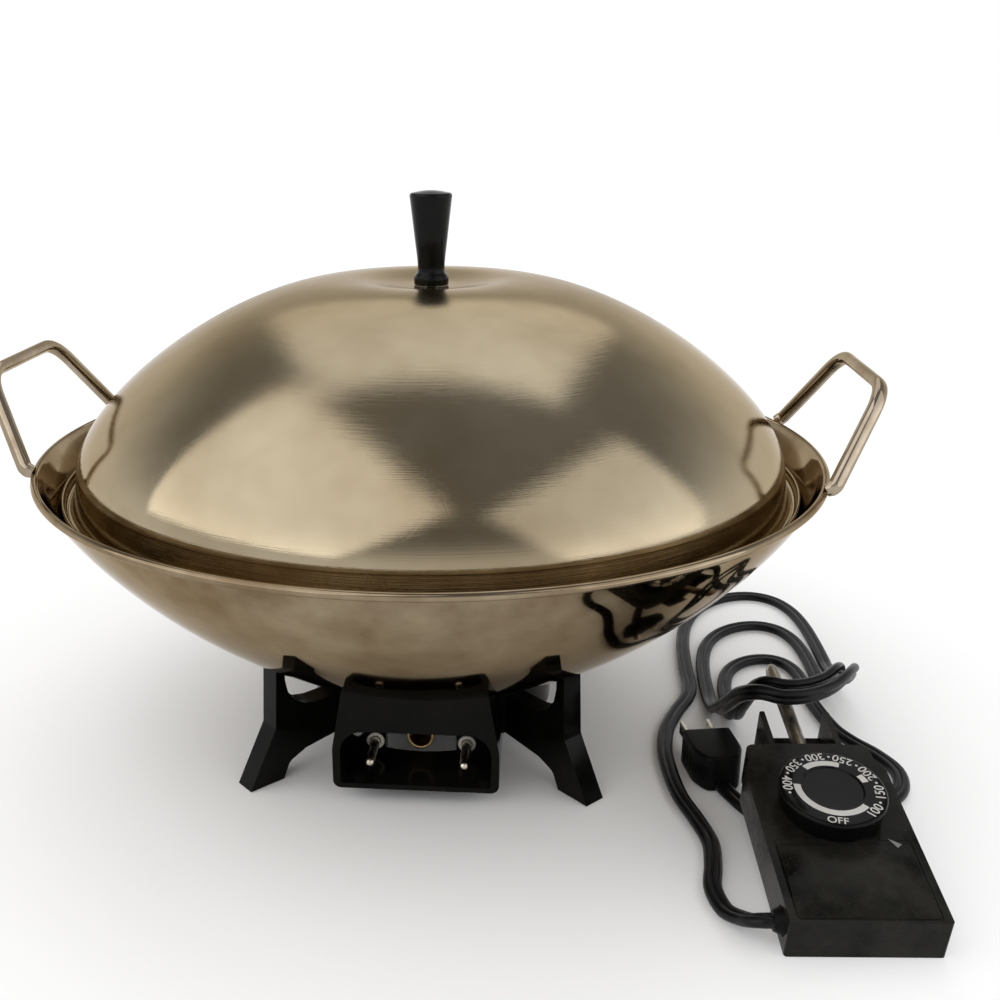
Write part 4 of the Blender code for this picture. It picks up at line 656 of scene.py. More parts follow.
# %% The two-core section
CORD_WIDTH, CORD_THICKNESS = 0.0074, 0.0043
GROOVE_START_SHARE, GROOVE_START_HEIGHT_SHARE, GROOVE_HEIGHT_SHARE = 0.30, 0.86, 0.70
CORE_STEPS = 8
core = CORD_THICKNESS / 2
core_centre = CORD_WIDTH / 2 - core
cord_section = []
for side, start in ((1, -0.5), (-1, 0.5)):
    for step in range(CORE_STEPS + 1):
        angle = math.pi * (start + step / CORE_STEPS)
        cord_section.append((side * core_centre + core * math.cos(angle), core * math.sin(angle)))
    edge, top = core_centre * GROOVE_START_SHARE, side * core * GROOVE_START_HEIGHT_SHARE
    cord_section += [(side * edge, top), (0.0, side * core * GROOVE_HEIGHT_SHARE), (-side * edge, top)]
print("points of the section:", len(cord_section))

# %% The twist, and the cord itself
TWIST, TWIST_FROM, TWIST_RUN = 78, 0.008, 0.012
WANDER, WANDER_FROM, WANDER_RUN, WANDER_WAVES = 0.25, 0.0045, 0.004, (45, 60)
tilts = []
for point in cord_line:
    wander = WANDER * math.sin(point.y * WANDER_WAVES[1]) * math.sin(point.x * WANDER_WAVES[0])
    twist = math.radians(TWIST) * ramp(point.z, TWIST_FROM, TWIST_RUN)
    tilts.append(twist + wander * ramp(point.z, WANDER_FROM, WANDER_RUN))
power_cord = swept("power_cord", cord_line, cord_section, vinyl, "control",
                   ("cord_lead", "cord_winding", "cord_tail"), tilts=tilts)

# %% [markdown]
# ## The plug
#
# A small moulded plug with two flat blades lies under the winding. Its body is a rounded block that
# narrows towards the cord, with three finger ribs on each side. One bar through the block shows as a
# rib on both sides, which is simpler than two, and can't come loose from the body.

# %% Plug body
PLUG_ENTRY_SHARE, PLUG_WAIST_SHARE, PLUG_ROUNDING = 0.62, 0.35, 0.0018
PLUG_CORNERS = (0.003, 0.003, 0.004, 0.002, 0.002, 0.004)
half, reach = PLUG_WIDTH / 2, PLUG_LENGTH / 2
plug_outline = (
    (-half * PLUG_ENTRY_SHARE, -reach), (half * PLUG_ENTRY_SHARE, -reach),
    (half, -reach * PLUG_WAIST_SHARE), (half, reach), (-half, reach),
    (-half, -reach * PLUG_WAIST_SHARE),
)
plug_shape = raised(softened(plug_outline, PLUG_CORNERS), 0.0, PLUG_HEIGHT, bevel=PLUG_ROUNDING,
                    segments=4)
finished(plug_shape, "plug_moulding", rubber, "control", ("plug_body",), plug_frame)
for node in ("plug_blade_left", "plug_blade_right"):
    dressed(node, nickel)

# %% Finger ribs, and what the cord is
RIB_COUNT, RIB_FIRST, RIB_PITCH, RIB_WIDTH = 3, -0.001, 0.0042, 0.0018
RIB_STAND_OUT, RIB_CORNER, RIB_EDGE, RIB_LOW, RIB_HIGH = 0.0003, 0.0006, 0.0003, 0.0032, 0.0138
for row in range(RIB_COUNT):
    y = RIB_FIRST + row * RIB_PITCH
    outline = oblong(-half - RIB_STAND_OUT, y, half + RIB_STAND_OUT, y + RIB_WIDTH)
    outline = softened(outline, (RIB_CORNER,) * 4, steps=3)
    rib = raised(outline, RIB_LOW, RIB_HIGH, bevel=RIB_EDGE, segments=2)
    finished(rib, f"plug_rib_{row}", rubber, "control", (), plug_frame)

# %% [markdown]
# ## The floor and the light
#
# A pale floor and a pale world stand for a photographer's table. Metal shows whatever is round it,
# so both are white to the camera and to mirrors, and the world lights the scene only mildly. A floor
# that is lit until it looks white would burn out the object, so it shines by itself instead, but
# only away from the wok: near it the floor keeps the shadow. Three large soft lamps do the rest.


# %% What the camera and mirrors see
def seen_directly(tree):
    """A mask that is 1 for what the camera, a mirror or glass looks at."""
    rays = add_node(tree, "ShaderNodeLightPath").outputs
    seen = math_node(tree, "MAXIMUM", rays["Is Camera Ray"], rays["Is Glossy Ray"])
    return math_node(tree, "MAXIMUM", seen, rays["Is Transmission Ray"])


# %% Floor
FLOOR_SIZE, FLOOR_DROP = 6.0, 0.0002
SHINE_FROM, SHINE_FULL = 0.12, 0.42
FLOOR_LIT, FLOOR_SEEN = (0.62, 0.60, 0.57, 1.0), (0.97, 0.97, 0.97, 1.0)
BLACK, WHITE = (0.0, 0.0, 0.0, 1.0), (1.0, 1.0, 1.0, 1.0)
floor_mesh = bpy.data.meshes.new("floor")
floor_shape = bmesh.new()
bmesh.ops.create_grid(floor_shape, x_segments=1, y_segments=1, size=FLOOR_SIZE,
                      matrix=Matrix.Translation((0.0, 0.0, -FLOOR_DROP)))
floor_shape.to_mesh(floor_mesh)
floor_shape.free()
floor = bpy.data.objects.new("floor", floor_mesh)
bpy.context.scene.collection.objects.link(floor)

# %% The floor's paint
floor_paint, tree, shader = new_finish("floor_paint", FLOOR_LIT[:3], roughness=0.9, metallic=0.0)
seen = seen_directly(tree)
distance = add_node(tree, "ShaderNodeVectorMath", {"Vector": object_place(tree)}, operation="LENGTH")
away = add_node(tree, "ShaderNodeMapRange", {
    "Value": distance.outputs["Value"], "From Min": SHINE_FROM, "From Max": SHINE_FULL,
}, interpolation_type="SMOOTHSTEP")
shining = math_node(tree, "MULTIPLY", seen, away.outputs["Result"])
near_colour = add_node(tree, "ShaderNodeMix", {"Factor": seen, "A": FLOOR_LIT, "B": FLOOR_SEEN},
                       data_type="RGBA")
colour = add_node(tree, "ShaderNodeMix", {
    "Factor": shining, "A": near_colour.outputs["Result"], "B": BLACK}, data_type="RGBA")
feed(shader.inputs["Base Color"], colour.outputs["Result"])
feed(shader.inputs["Emission Color"], WHITE)
feed(shader.inputs["Emission Strength"], shining)
floor_mesh.materials.append(floor_paint)
print("floor:", floor.name)

# %% World
HORIZON_HEIGHT, CEILING_HEIGHT = 0.10, 0.70
HORIZON_STRENGTH, CEILING_STRENGTH, WORLD_LIGHT = 1.0, 0.26, 0.55
world = bpy.data.worlds.new("studio")
bpy.context.scene.world = world
world.use_nodes = True
tree = world.node_tree
way = add_node(tree, "ShaderNodeTexCoord")
parts = add_node(tree, "ShaderNodeSeparateXYZ", {"Vector": way.outputs["Generated"]})
height = add_node(tree, "ShaderNodeMapRange", {
    "Value": parts.outputs["Z"], "From Min": HORIZON_HEIGHT, "From Max": CEILING_HEIGHT,
    "To Min": HORIZON_STRENGTH, "To Max": CEILING_STRENGTH}, interpolation_type="SMOOTHSTEP")
strength = add_node(tree, "ShaderNodeMix", {
    "Factor": seen_directly(tree), "A": WORLD_LIGHT, "B": height.outputs["Result"]})
feed(tree.nodes["Background"].inputs["Strength"], strength.outputs["Result"])
feed(tree.nodes["Background"].inputs["Color"], WHITE)
bpy.context.scene.view_settings.view_transform = "Standard"
print("world:", world.name)


# %% Lamps
WOK_MIDDLE = Vector((0.03, 0.0, 0.10))


def soft_lamp(name, place, size, power):
    """A large rectangular lamp that points at the middle of the wok."""
    data = bpy.data.lights.new(name, "AREA")
    data.shape = "RECTANGLE"
    data.size, data.size_y = size
    data.energy = power
    lamp = bpy.data.objects.new(name, data)
    lamp.location = place
    way = WOK_MIDDLE - Vector(place)
    lamp.rotation_euler = way.to_track_quat("-Z", "Y").to_euler()
    bpy.context.scene.collection.objects.link(lamp)


soft_lamp("key_lamp", (-1.3, -0.9, 1.7), size=(3.2, 2.6), power=34.0)
soft_lamp("fill_lamp", (1.6, -0.7, 1.1), size=(2.0, 2.2), power=12.0)
soft_lamp("back_lamp", (-0.05, 1.15, 1.75), size=(1.9, 1.7), power=10.0)
print("lamps ready")

# %% [markdown]
# ## The bowl
#
# A spinner presses a disc of steel over a round form, so the bowl is one outline turned round an
# axis: a small flat bottom, a wall that opens out in one sweep, and a bead rolled over a wire at
# the rim. The wall is a Bezier curve, because two pulls shape the whole sweep, and it is moved
# inwards by the sheet's thickness for the inner face.

# %% The wall's curve
RIM_RADIUS, PAN_HEIGHT, PAN_WALL, RIM_BEAD_RADIUS = 0.178, 0.1392, 0.0012, 0.0017
PAN_BASE_RADIUS, PAN_BASE_HEIGHT = 0.030, 0.035
PAN_CURVE_SHARES = ((0.377, 0.0), (0.856, 0.592))


def bezier(points, share):
    back = 1 - share
    weights = (back**3, 3 * back**2 * share, 3 * back * share**2, share**3)
    pulled = (Vector(point) * weight for point, weight in zip(points, weights))
    return sum(pulled, Vector((0.0, 0.0)))


bead_centre = Vector((RIM_RADIUS - RIM_BEAD_RADIUS, PAN_HEIGHT - RIM_BEAD_RADIUS))
wall_start = Vector((PAN_BASE_RADIUS, PAN_BASE_HEIGHT))
span = bead_centre - wall_start
pull_low, pull_high = (wall_start + Vector((span.x * x, span.y * y)) for x, y in PAN_CURVE_SHARES)
wall_way = (bead_centre - pull_high).normalized()
wall_out = Vector((wall_way.y, -wall_way.x))
wall_end = bead_centre - wall_out * (RIM_BEAD_RADIUS - PAN_WALL)
wall_curve = (wall_start, pull_low, pull_high, wall_end)
print("the wall ends at", tuple(round(v, 4) for v in wall_end))

# %% Points of the wall
SHARE_STEP, HALVINGS = 0.001, 40


def pan_point(share, outwards=0.0):
    """A point of the bowl's outer face, moved outwards along its normal."""
    here = bezier(wall_curve, share)
    ahead = bezier(wall_curve, min(share + SHARE_STEP, 1.0))
    along = (ahead - bezier(wall_curve, max(share - SHARE_STEP, 0.0))).normalized()
    return Vector((here.x + along.y * outwards, here.y - along.x * outwards))


def pan_share_where(test):
    """The last share of the wall that passes a test, found by halving."""
    low, high = 0.0, 1.0
    for _ in range(HALVINGS):
        middle = (low + high) / 2
        low, high = (middle, high) if test(middle) else (low, middle)
    return low


print("the wall's middle:", tuple(round(v, 4) for v in pan_point(0.5)))

# %% Bowl
WALL_STEPS, BEAD_STEPS, FLAT_SHARE = 60, 25, 0.5
shares = [step / WALL_STEPS for step in range(WALL_STEPS + 1)]
profile = [Vector((0.0, PAN_BASE_HEIGHT)), Vector((PAN_BASE_RADIUS * FLAT_SHARE, PAN_BASE_HEIGHT))]
profile += [pan_point(share) for share in shares[:-1]]
bead_begin = -math.pi / 2 - math.asin((RIM_BEAD_RADIUS - PAN_WALL) / RIM_BEAD_RADIUS)
for step in range(BEAD_STEPS):
    angle = bead_begin + (math.pi - bead_begin) * step / BEAD_STEPS
    roll = wall_out * math.cos(angle) + wall_way * math.sin(angle)
    profile.append(bead_centre + roll * RIM_BEAD_RADIUS)
profile += [pan_point(share, -PAN_WALL) for share in reversed(shares)]
profile.append(Vector((0.0, PAN_BASE_HEIGHT + PAN_WALL)))
finished(spun(profile, steps=256), "wok_bowl", steel_bowl, "wok", ("wok_pan",), smooth=60)

# %% [markdown]
# ## The handles
#
# Each handle is one steel bar, a little wider than it is thick, bent into a trapezium that leans
# outwards, with its two ends turned in to the bead of the rim. It is swept along its bends, as the
# bar was bent, so that its thickness stays even round them. A round section pressed a little flat
# gives the broad highlight of such a bar.

# %% The bar's section and its corners
HANDLE_HALF_WIDTH, HANDLE_HALF_THICKNESS, FLATNESS, BAR_STEPS = 0.0031, 0.0027, 0.8, 28
HANDLE_STAND_OUT, HANDLE_RISE = 0.0145, 0.0380
HANDLE_CORNER_HALF_SPAN, HANDLE_END_HALF_SPAN = 0.0356, 0.0563
WELD_INSIDE, WELD_DROP, TURN_IN_OUTSIDE, TURN_IN_RISE = 0.0010, 0.0006, 0.0023, 0.0010
HANDLE_END_BEND, HANDLE_CORNER_BEND, HANDLE_END_RADIUS_SHARE = 0.0018, 0.012, 0.8


def pressed(value):
    return math.copysign(abs(value) ** FLATNESS, value)


def rim_place(radius, height):
    """A place at the end of a handle, at a radius from the wok's axis."""
    across = math.sqrt(radius**2 - HANDLE_END_HALF_SPAN**2)
    return Vector((across, HANDLE_END_HALF_SPAN, height))


bar_section = []
for step in range(BAR_STEPS):
    angle = math.tau * step / BAR_STEPS
    bar_section.append((pressed(math.cos(angle)) * HANDLE_HALF_THICKNESS,
                        pressed(math.sin(angle)) * HANDLE_HALF_WIDTH))
weld = rim_place(RIM_RADIUS - WELD_INSIDE, PAN_HEIGHT - WELD_DROP)
turn_in = rim_place(RIM_RADIUS + TURN_IN_OUTSIDE, PAN_HEIGHT + TURN_IN_RISE)
top_corner = Vector((RIM_RADIUS + HANDLE_STAND_OUT, HANDLE_CORNER_HALF_SPAN,
                     PAN_HEIGHT + HANDLE_RISE))
print("a handle ends at", tuple(round(v, 4) for v in weld))

# %% Handles
bends = (HANDLE_END_BEND, HANDLE_CORNER_BEND, HANDLE_CORNER_BEND, HANDLE_END_BEND)
for side, name in ((1, "right"), (-1, "left")):
    corners = [Vector((side * p.x, p.y, p.z)) for p in (weld, turn_in, top_corner)]
    corners += [Vector((p.x, -p.y, p.z)) for p in reversed(corners)]
    bar = softened(corners, (0.0, *bends, 0.0), steps=10)
    thinned = [HANDLE_END_RADIUS_SHARE, *[1.0] * (len(bar) - 2), HANDLE_END_RADIUS_SHARE]
    swept(f"handle_bar_{name}", bar, bar_section, steel_handle, "wok", (f"handle_{name}",),
          radii=thinned, upright=False)

# %% [markdown]
# ## The lid
#
# The lid is spun too: a low dish for the knob, a ridge round it, a dome, and a rolled gutter that
# sits inside the bowl's rim. Its sheet is thin and even, so only the outer face is drawn and
# Solidify gives it its thickness. The gutter's height fixes its radius: it is where the wall of the
# bowl leaves room for it.

# %% Where the gutter sits
LID_SHEET, LID_GUTTER_RADIUS, LID_GUTTER_HEIGHT = 0.0010, 0.0031, 0.1256
inwards = PAN_WALL + TOUCH_GAP + LID_GUTTER_RADIUS
gutter_share = pan_share_where(lambda share: pan_point(share, -inwards).y < LID_GUTTER_HEIGHT)
gutter = pan_point(gutter_share, -inwards)
print("the gutter's radius:", round(gutter.x, 4))

# %% The lid's outline
LID_RIDGE_HEIGHT, LID_RIDGE_RADIUS, LID_DISH_DEPTH, LID_SHOULDER_HEIGHT = 0.216, 0.038, 0.003, 0.137
LID_BORE_RADIUS, LID_SEAT_RADIUS, LID_BAND_FLARE, LID_LIP_RISE = 0.0023, 0.0089, 0.0018, 0.0026
LID_DOME_SHARES = ((0.422, 0.0), (1.0, 0.671))
DISH_STEPS, DOME_STEPS, GUTTER_STEPS = 16, 72, 24
dish_height = LID_RIDGE_HEIGHT - LID_DISH_DEPTH
over = [Vector((LID_BORE_RADIUS, dish_height)), Vector((LID_SEAT_RADIUS, dish_height))]
for step in range(1, DISH_STEPS + 1):
    share = step / DISH_STEPS
    swell = LID_DISH_DEPTH * (1 - math.cos(math.pi * share)) / 2
    over.append(Vector((LID_SEAT_RADIUS + (LID_RIDGE_RADIUS - LID_SEAT_RADIUS) * share,
                        dish_height + swell)))
inside = LID_GUTTER_RADIUS - LID_SHEET
shoulder = Vector((gutter.x - inside - LID_BAND_FLARE, LID_SHOULDER_HEIGHT))
ridge = Vector((LID_RIDGE_RADIUS, LID_RIDGE_HEIGHT))
drop = Vector((shoulder.x - ridge.x, ridge.y - shoulder.y))
pulls = (ridge + Vector((drop.x * x, -drop.y * y)) for x, y in LID_DOME_SHARES)
dome = (ridge, *pulls, shoulder)
over += [bezier(dome, step / DOME_STEPS) for step in range(1, DOME_STEPS + 1)]
for step in range(GUTTER_STEPS + 1):
    angle = math.pi + math.pi * step / GUTTER_STEPS
    over.append(gutter + Vector((math.cos(angle), math.sin(angle))) * inside)
over.append(Vector((gutter.x + inside, gutter.y + LID_LIP_RISE)))
print("points of the lid's outline:", len(over))

# %% Lid
lid_shape = spun(over, steps=256)
crown = max(lid_shape.faces, key=lambda face: face.calc_center_median().z)
if crown.normal.z < 0:
    bmesh.ops.reverse_faces(lid_shape, faces=lid_shape.faces)
lid = finished(lid_shape, "lid_shell", steel_lid, "lid", ("lid_dome",), smooth=70)
sheet = lid.modifiers.new("sheet_thickness", "SOLIDIFY")
sheet.thickness = LID_SHEET
sheet.offset = -1.0

# %% [markdown]
# ## The knob
#
# The grip is a turned taper, narrow at its neck and wide at its top, on a short flared foot, and a
# screw comes up into it from inside the lid. A few radii and heights with a smooth line through them
# give a lathe's flowing shape without a long list of points.

# %% Knob, with its screw and washer below
KNOB_OUTLINE = (
    (0.0074, 0.0), (0.0077, 0.0004), (0.0077, 0.0028), (0.0072, 0.0042), (0.00625, 0.0053),
    (0.0060, 0.0075), (0.00630, 0.0118), (0.00724, 0.0198), (0.00822, 0.0284),
    (0.00918, 0.0366), (0.0094, 0.0381), (0.00926, 0.0389), (0.0088, 0.0395),
)
KNOB_LINE_SPACING, KNOB_CROWN, KNOB_CROWN_STEPS, KNOB_BORE_DEPTH = 0.00035, 0.0012, 6, 0.0183
knob_foot = dish_height + TOUCH_GAP
knob_line = [Vector((radius, knob_foot + up, 0.0)) for radius, up in KNOB_OUTLINE]
bore_top = knob_foot + KNOB_BORE_DEPTH
profile = [Vector((0.0, bore_top)), Vector((LID_BORE_RADIUS, bore_top)),
           Vector((LID_BORE_RADIUS, knob_foot))]
profile += [point.to_2d() for point in smooth_line(knob_line, KNOB_LINE_SPACING)]
crown_radius, knob_height = KNOB_OUTLINE[-1]
for step in range(1, KNOB_CROWN_STEPS + 1):
    share = step / KNOB_CROWN_STEPS
    swell = KNOB_CROWN * math.sin(share * math.pi / 2)
    profile.append(Vector((crown_radius * (1 - share), knob_foot + knob_height + swell)))
finished(spun(profile, steps=96), "lid_grip", phenolic_knob, "lid", ("lid_knob",), smooth=45)
dressed("knob_screw", zinc)
dressed("knob_washer", zinc)

# %% [markdown]
# ## The base
#
# The base is one black moulding: a short hub under the bowl, from which four arms run out into
# splayed legs that hold the bowl in notches. The terminals' housing is a second moulding in front
# of it, open towards the control. Their solids already have the right shape, so both are finer
# copies of them: what a moulding still lacks is the small rounding of its edges, which catches light.

# %% Base and housing
refined("base_stand", "base_moulding", phenolic, "wok", bevel=0.0010, segments=3)
refined("connector_housing", "housing_moulding", phenolic, "wok", bevel=0.0008, segments=3)

# %% [markdown]
# ## Terminals
#
# Inside the mouth are two pins with round heads, and between them the brass guide that the probe
# slides into. A turned pin is a rod with a domed end, and the probe has the same shape, so one
# outline serves them all. The solids give where each begins and ends.


# %% A rod with a domed end
def domed_rod(radius, length, dome, arc_steps):
    """The outline of a rod that stands on the origin, for spinning."""
    outline = [Vector((0.0, 0.0)), Vector((radius, 0.0))]
    for step in range(arc_steps + 1):
        angle = math.pi / 2 * step / arc_steps
        outline.append(Vector((radius * math.cos(angle), length - dome + dome * math.sin(angle))))
    return outline


# %% Pins
PIN_RADIUS, PIN_SPACING, PIN_HEIGHT = 0.00225, 0.0413, 0.0173
for side, name in ((1, "right"), (-1, "left")):
    tip, root = (corner.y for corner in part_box(f"terminal_pin_{name}"))
    pin = spun(domed_rod(PIN_RADIUS, root - tip, dome=PIN_RADIUS, arc_steps=8), steps=48)
    place = Matrix.Translation((side * PIN_SPACING / 2, root, PIN_HEIGHT)) @ turned(90, "X")
    finished(pin, f"pin_{name}", nickel, "wok", (f"terminal_pin_{name}",), place)

# %% The guide for the probe, and the small parts round it
GUIDE_RADIUS, GUIDE_BORE_RADIUS, GUIDE_FLOOR, GUIDE_EDGE, GUIDE_HEIGHT = (
    0.0060, 0.0047, 0.0013, 0.0004, 0.0215
)
mouth, root = (corner.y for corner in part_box("probe_guide_tube"))
guide = softened(
    ((0.0, 0.0), (GUIDE_RADIUS, 0.0), (GUIDE_RADIUS, root - mouth), (GUIDE_BORE_RADIUS, root - mouth),
     (GUIDE_BORE_RADIUS, GUIDE_FLOOR), (0.0, GUIDE_FLOOR)),
    (0.0, GUIDE_EDGE, GUIDE_EDGE, GUIDE_EDGE, 0.0, 0.0), steps=4,
)
place = Matrix.Translation((0.0, root, GUIDE_HEIGHT)) @ turned(90, "X")
finished(spun(guide, steps=64), "probe_guide", brass, "wok", ("probe_guide_tube",), place)
for node in ("pin_insulator_left", "pin_insulator_right"):
    dressed(node, ceramic)
for node in ("housing_screw_left", "housing_screw_right", "base_stud", "base_washer", "base_nut"):
    dressed(node, zinc)
dressed("heating_element", sheath)
dressed("heat_plate", cast_aluminium)

# %% [markdown]
# ## The heat control
#
# The control is a flat black case with a dial on it, a guarded nose at its far end, and the sensing
# probe inside that. It lies tilted, with its front edge on the table and its far end raised. So
# everything on it is drawn flat in the case's own frame and moved into place at the end, which is
# far easier than drawing on a tilted face. A plain plate lies inside a fine raised line.

# %% Case and label
CASE_WIDTH, CASE_HEIGHT = 0.0577, 0.0175
PANEL_MARGIN, PANEL_FRONT, PANEL_REAR, PANEL_CORNER = 0.0034, 0.0020, 0.0370, 0.0015
PANEL_SUNK, PANEL_PROUD, PANEL_EDGE = 0.0003, 0.00015, 0.0001
refined("control_case_top", "case_shell", phenolic_case, "control", bevel=0.0008, segments=4)
refined("control_case_bottom", "case_plate", phenolic_case, "control", bevel=0.0003, segments=2)
panel = softened(oblong(PANEL_MARGIN, PANEL_FRONT, CASE_WIDTH - PANEL_MARGIN, PANEL_REAR),
                 (PANEL_CORNER,) * 4)
label = raised(panel, CASE_HEIGHT - PANEL_SUNK, CASE_HEIGHT + PANEL_PROUD, bevel=PANEL_EDGE,
               segments=2)
finished(label, "label_bare", phenolic_case, "control", ("label_plate",), control_frame)

# %% The fine raised line round the label, and the pointer
LINE_MARGIN, LINE_FRONT, LINE_REAR, LINE_CORNER = 0.0030, 0.0016, 0.0392, 0.0018
LINE_RADIUS, LINE_PROUD, LINE_SIDES = 0.00016, 0.00005, 8
POINTER = ((0.0463, 0.0398), (0.0488, 0.0352), (0.0508, 0.0370))
POINTER_UNDERSIDE, POINTER_TOP = CASE_HEIGHT + 0.0002, CASE_HEIGHT + 0.0003
line_out = softened(oblong(LINE_MARGIN, LINE_FRONT, CASE_WIDTH - LINE_MARGIN, LINE_REAR),
                    (LINE_CORNER,) * 4)
path = [control_frame @ Vector((p.x, p.y, CASE_HEIGHT + LINE_PROUD)) for p in line_out]
path.append(path[0])
round_section = []
for step in range(LINE_SIDES):
    angle = math.tau * step / LINE_SIDES
    round_section.append((LINE_RADIUS * math.cos(angle), LINE_RADIUS * math.sin(angle)))
swept("label_line", path, round_section, phenolic_case, "control")
pointer = raised(POINTER, POINTER_UNDERSIDE, POINTER_TOP)
finished(pointer, "pointer_mark", print_worn, "control", (), control_frame)

# %% [markdown]
# ## The dial
#
# The dial is a hollow moulded cap that turns on a spindle. Its flank leans outwards a little for the
# fingers, and its top carries a flat printed ring round a sunk middle. It is spun from one closed
# outline, with its hollow underside, because the glossy case below it reflects that too.

# %% Dial, with each corner of its outline beside the corner's rounding
DIAL_PLACE, DIAL_STAND_OFF, DIAL_TOP = 0.0568, 0.0008, 0.0100
DIAL_RADIUS, DIAL_BASE_RADIUS, DIAL_RING_RADIUS, DIAL_RING_STEP = 0.0207, 0.0194, 0.0119, 0.0005
DIAL_BEVEL, DIAL_BROW_RADIUS, DIAL_BROW_DROP, DIAL_FACE_RADIUS = 0.0012, 0.0203, 0.0003, 0.0195
DIAL_SUNK_RADIUS = 0.0114
DIAL_CUP_RADIUS, DIAL_CUP_HEIGHT, DIAL_HUB_RADIUS, DIAL_HUB_LOW = 0.0165, 0.0063, 0.0065, 0.0031
SPINDLE_HOLE_RADIUS, SPINDLE_HOLE_TOP = 0.0028, 0.0091
dial_frame = control_frame @ Matrix.Translation((CASE_WIDTH / 2, DIAL_PLACE, CASE_HEIGHT))
dial_corners = (
    ((0.0, SPINDLE_HOLE_TOP), 0), ((SPINDLE_HOLE_RADIUS, SPINDLE_HOLE_TOP), 0),
    ((SPINDLE_HOLE_RADIUS, DIAL_HUB_LOW), 0), ((DIAL_HUB_RADIUS, DIAL_HUB_LOW), 0.0003),
    ((DIAL_HUB_RADIUS, DIAL_CUP_HEIGHT), 0), ((DIAL_CUP_RADIUS, DIAL_CUP_HEIGHT), 0),
    ((DIAL_CUP_RADIUS, DIAL_STAND_OFF), 0.0003), ((DIAL_BASE_RADIUS, DIAL_STAND_OFF), 0.0004),
    ((DIAL_RADIUS, DIAL_TOP - DIAL_BEVEL), 0.0009),
    ((DIAL_BROW_RADIUS, DIAL_TOP - DIAL_BROW_DROP), 0.0004),
    ((DIAL_FACE_RADIUS, DIAL_TOP), 0.0004), ((DIAL_RING_RADIUS, DIAL_TOP), 0.0002),
    ((DIAL_SUNK_RADIUS, DIAL_TOP - DIAL_RING_STEP), 0.0002), ((0.0, DIAL_TOP - DIAL_RING_STEP), 0),
)
corners, roundings = zip(*dial_corners)
dial_outline = softened(corners, roundings, steps=4)
finished(spun(dial_outline, steps=128), "dial_cap", phenolic_knob, "dial", ("dial_knob",), dial_frame)
dressed("dial_spindle", zinc)
dressed("spindle_bush", brass)

# %% [markdown]
# ## The print on the dial
#
# Plain numbers run round the edge with their feet outwards, each followed by the dot that is set to
# the pointer. Inside them is a ring in three bars, and OFF is printed at the front. The print is
# thin geometry just above the dial: it stays crisp at any distance, and it turns with the dial.


# %% A helper that prints one word
STROKE_WIDENING = 0.00005


def on_dial(radius, degrees):
    """A place on the dial, at a radius and an angle."""
    turn = math.radians(degrees)
    return Matrix.Translation((radius * math.cos(turn), radius * math.sin(turn), 0.0))


def printed_word(shape, word, size, radius, degrees):
    """Adds a flat word to a bmesh, at an angle on the dial, with its feet outwards."""
    text = bpy.data.curves.new("word", "FONT")
    text.body = word
    text.size = size
    text.align_x, text.align_y = "CENTER", "CENTER"
    text.offset = STROKE_WIDENING
    writer = bpy.data.objects.new("word", text)
    bpy.context.scene.collection.objects.link(writer)
    bpy.context.view_layer.update()
    flat = writer.evaluated_get(bpy.context.evaluated_depsgraph_get()).to_mesh().copy()
    flat.transform(on_dial(radius, degrees) @ turned(degrees + 90, "Z"))
    shape.from_mesh(flat)
    bpy.data.meshes.remove(flat)
    bpy.data.objects.remove(writer)
    bpy.data.curves.remove(text)


# %% Numbers, dots and OFF
PRINT_PROUD = 0.00004
NUMBER_COUNT, NUMBER_FIRST, NUMBER_STEP = 7, 100, 50
NUMBER_SIZE, NUMBER_RADIUS, NUMBER_FROM, NUMBER_PITCH = 0.0053, 0.0176, -44.5, 36
DOT_RADIUS, DOT_PLACE, DOT_AFTER = 0.00055, 0.0177, 17.5
OFF_SIZE, OFF_RADIUS, OFF_ANGLE = 0.0046, 0.0178, -99.6
print_lift = Matrix.Translation((0, 0, DIAL_TOP + PRINT_PROUD))
ink = bmesh.new()
for row in range(NUMBER_COUNT):
    angle = NUMBER_FROM + NUMBER_PITCH * row
    number = str(NUMBER_FIRST + NUMBER_STEP * row)
    printed_word(ink, number, NUMBER_SIZE, NUMBER_RADIUS, angle)
    bmesh.ops.create_circle(ink, cap_ends=True, segments=16, radius=DOT_RADIUS,
                            matrix=on_dial(DOT_PLACE, angle + DOT_AFTER))
printed_word(ink, "OFF", OFF_SIZE, OFF_RADIUS, OFF_ANGLE)
bmesh.ops.transform(ink, matrix=print_lift, verts=ink.verts)
bmesh.ops.recalc_face_normals(ink, faces=ink.faces)
finished(ink, "dial_numbers", print_silver, "dial", (), dial_frame)

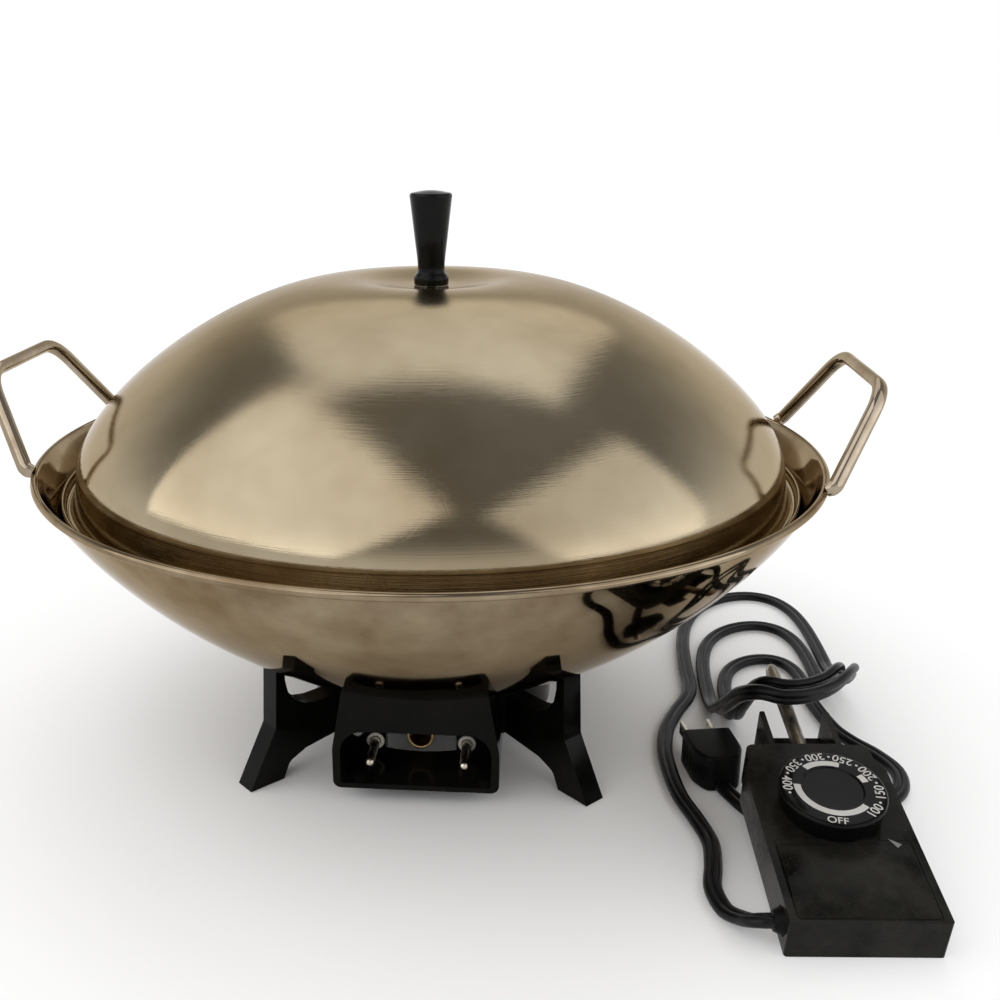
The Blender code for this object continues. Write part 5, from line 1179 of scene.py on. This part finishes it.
# %% The three bars of the ring
BAR_INNER_RADIUS, BAR_OUTER_RADIUS, BAR_STEP = 0.0124, 0.0151, 3
for name, start, end in (("front", 172, 316), ("side", 13, 30), ("rear", 66, 127)):
    bars = bmesh.new()
    ray = Vector((math.cos(math.radians(start)), math.sin(math.radians(start)), 0.0))
    inner, outer = (bars.verts.new(ray * radius) for radius in (BAR_INNER_RADIUS, BAR_OUTER_RADIUS))
    edge = bars.edges.new((inner, outer))
    bmesh.ops.spin(bars, geom=[inner, outer, edge], cent=(0, 0, 0), axis=(0, 0, 1),
                   angle=math.radians(end - start), steps=max(round((end - start) / BAR_STEP), 4))
    bmesh.ops.recalc_face_normals(bars, faces=bars.faces)
    bmesh.ops.transform(bars, matrix=print_lift, verts=bars.verts)
    finished(bars, f"dial_bar_{name}", print_silver, "dial", (), dial_frame)

# %% [markdown]
# ## Probe, contacts and what is inside the case
#
# The probe is an aluminium tube gone brown with heat, with a rounded tip. The contacts and the
# thermostat's parts hardly show, so they keep their solids and get their finishes. The strain relief
# shows where the cord leaves, so its edges are rounded.

# %% Probe and small parts
PROBE_RADIUS, PROBE_DOME, PROBE_HEIGHT = 0.0031, 0.0062, 0.0108
PROBE_REACH, PROBE_INNER_LENGTH, CASE_LENGTH = 0.0627, 0.024, 0.0930
probe = domed_rod(PROBE_RADIUS, PROBE_INNER_LENGTH + PROBE_REACH, dome=PROBE_DOME, arc_steps=12)
probe_root = (CASE_WIDTH / 2, CASE_LENGTH - PROBE_INNER_LENGTH, PROBE_HEIGHT)
place = control_frame @ Matrix.Translation(probe_root) @ turned(-90, "X")
finished(spun(probe, steps=48), "probe_tube", probe_grey, "control", ("probe_rod",), place)
refined("strain_relief", "relief_boot", rubber, "control", bevel=0.0003, segments=2)
for node in ("socket_contact_left", "socket_contact_right", "contact_blade_lower",
             "contact_blade_upper"):
    dressed(node, brass)
dressed("thermostat_bracket", zinc)
dressed("blade_spacer", ceramic)
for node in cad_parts:
    if node.startswith("case_screw"):
        dressed(node, zinc)
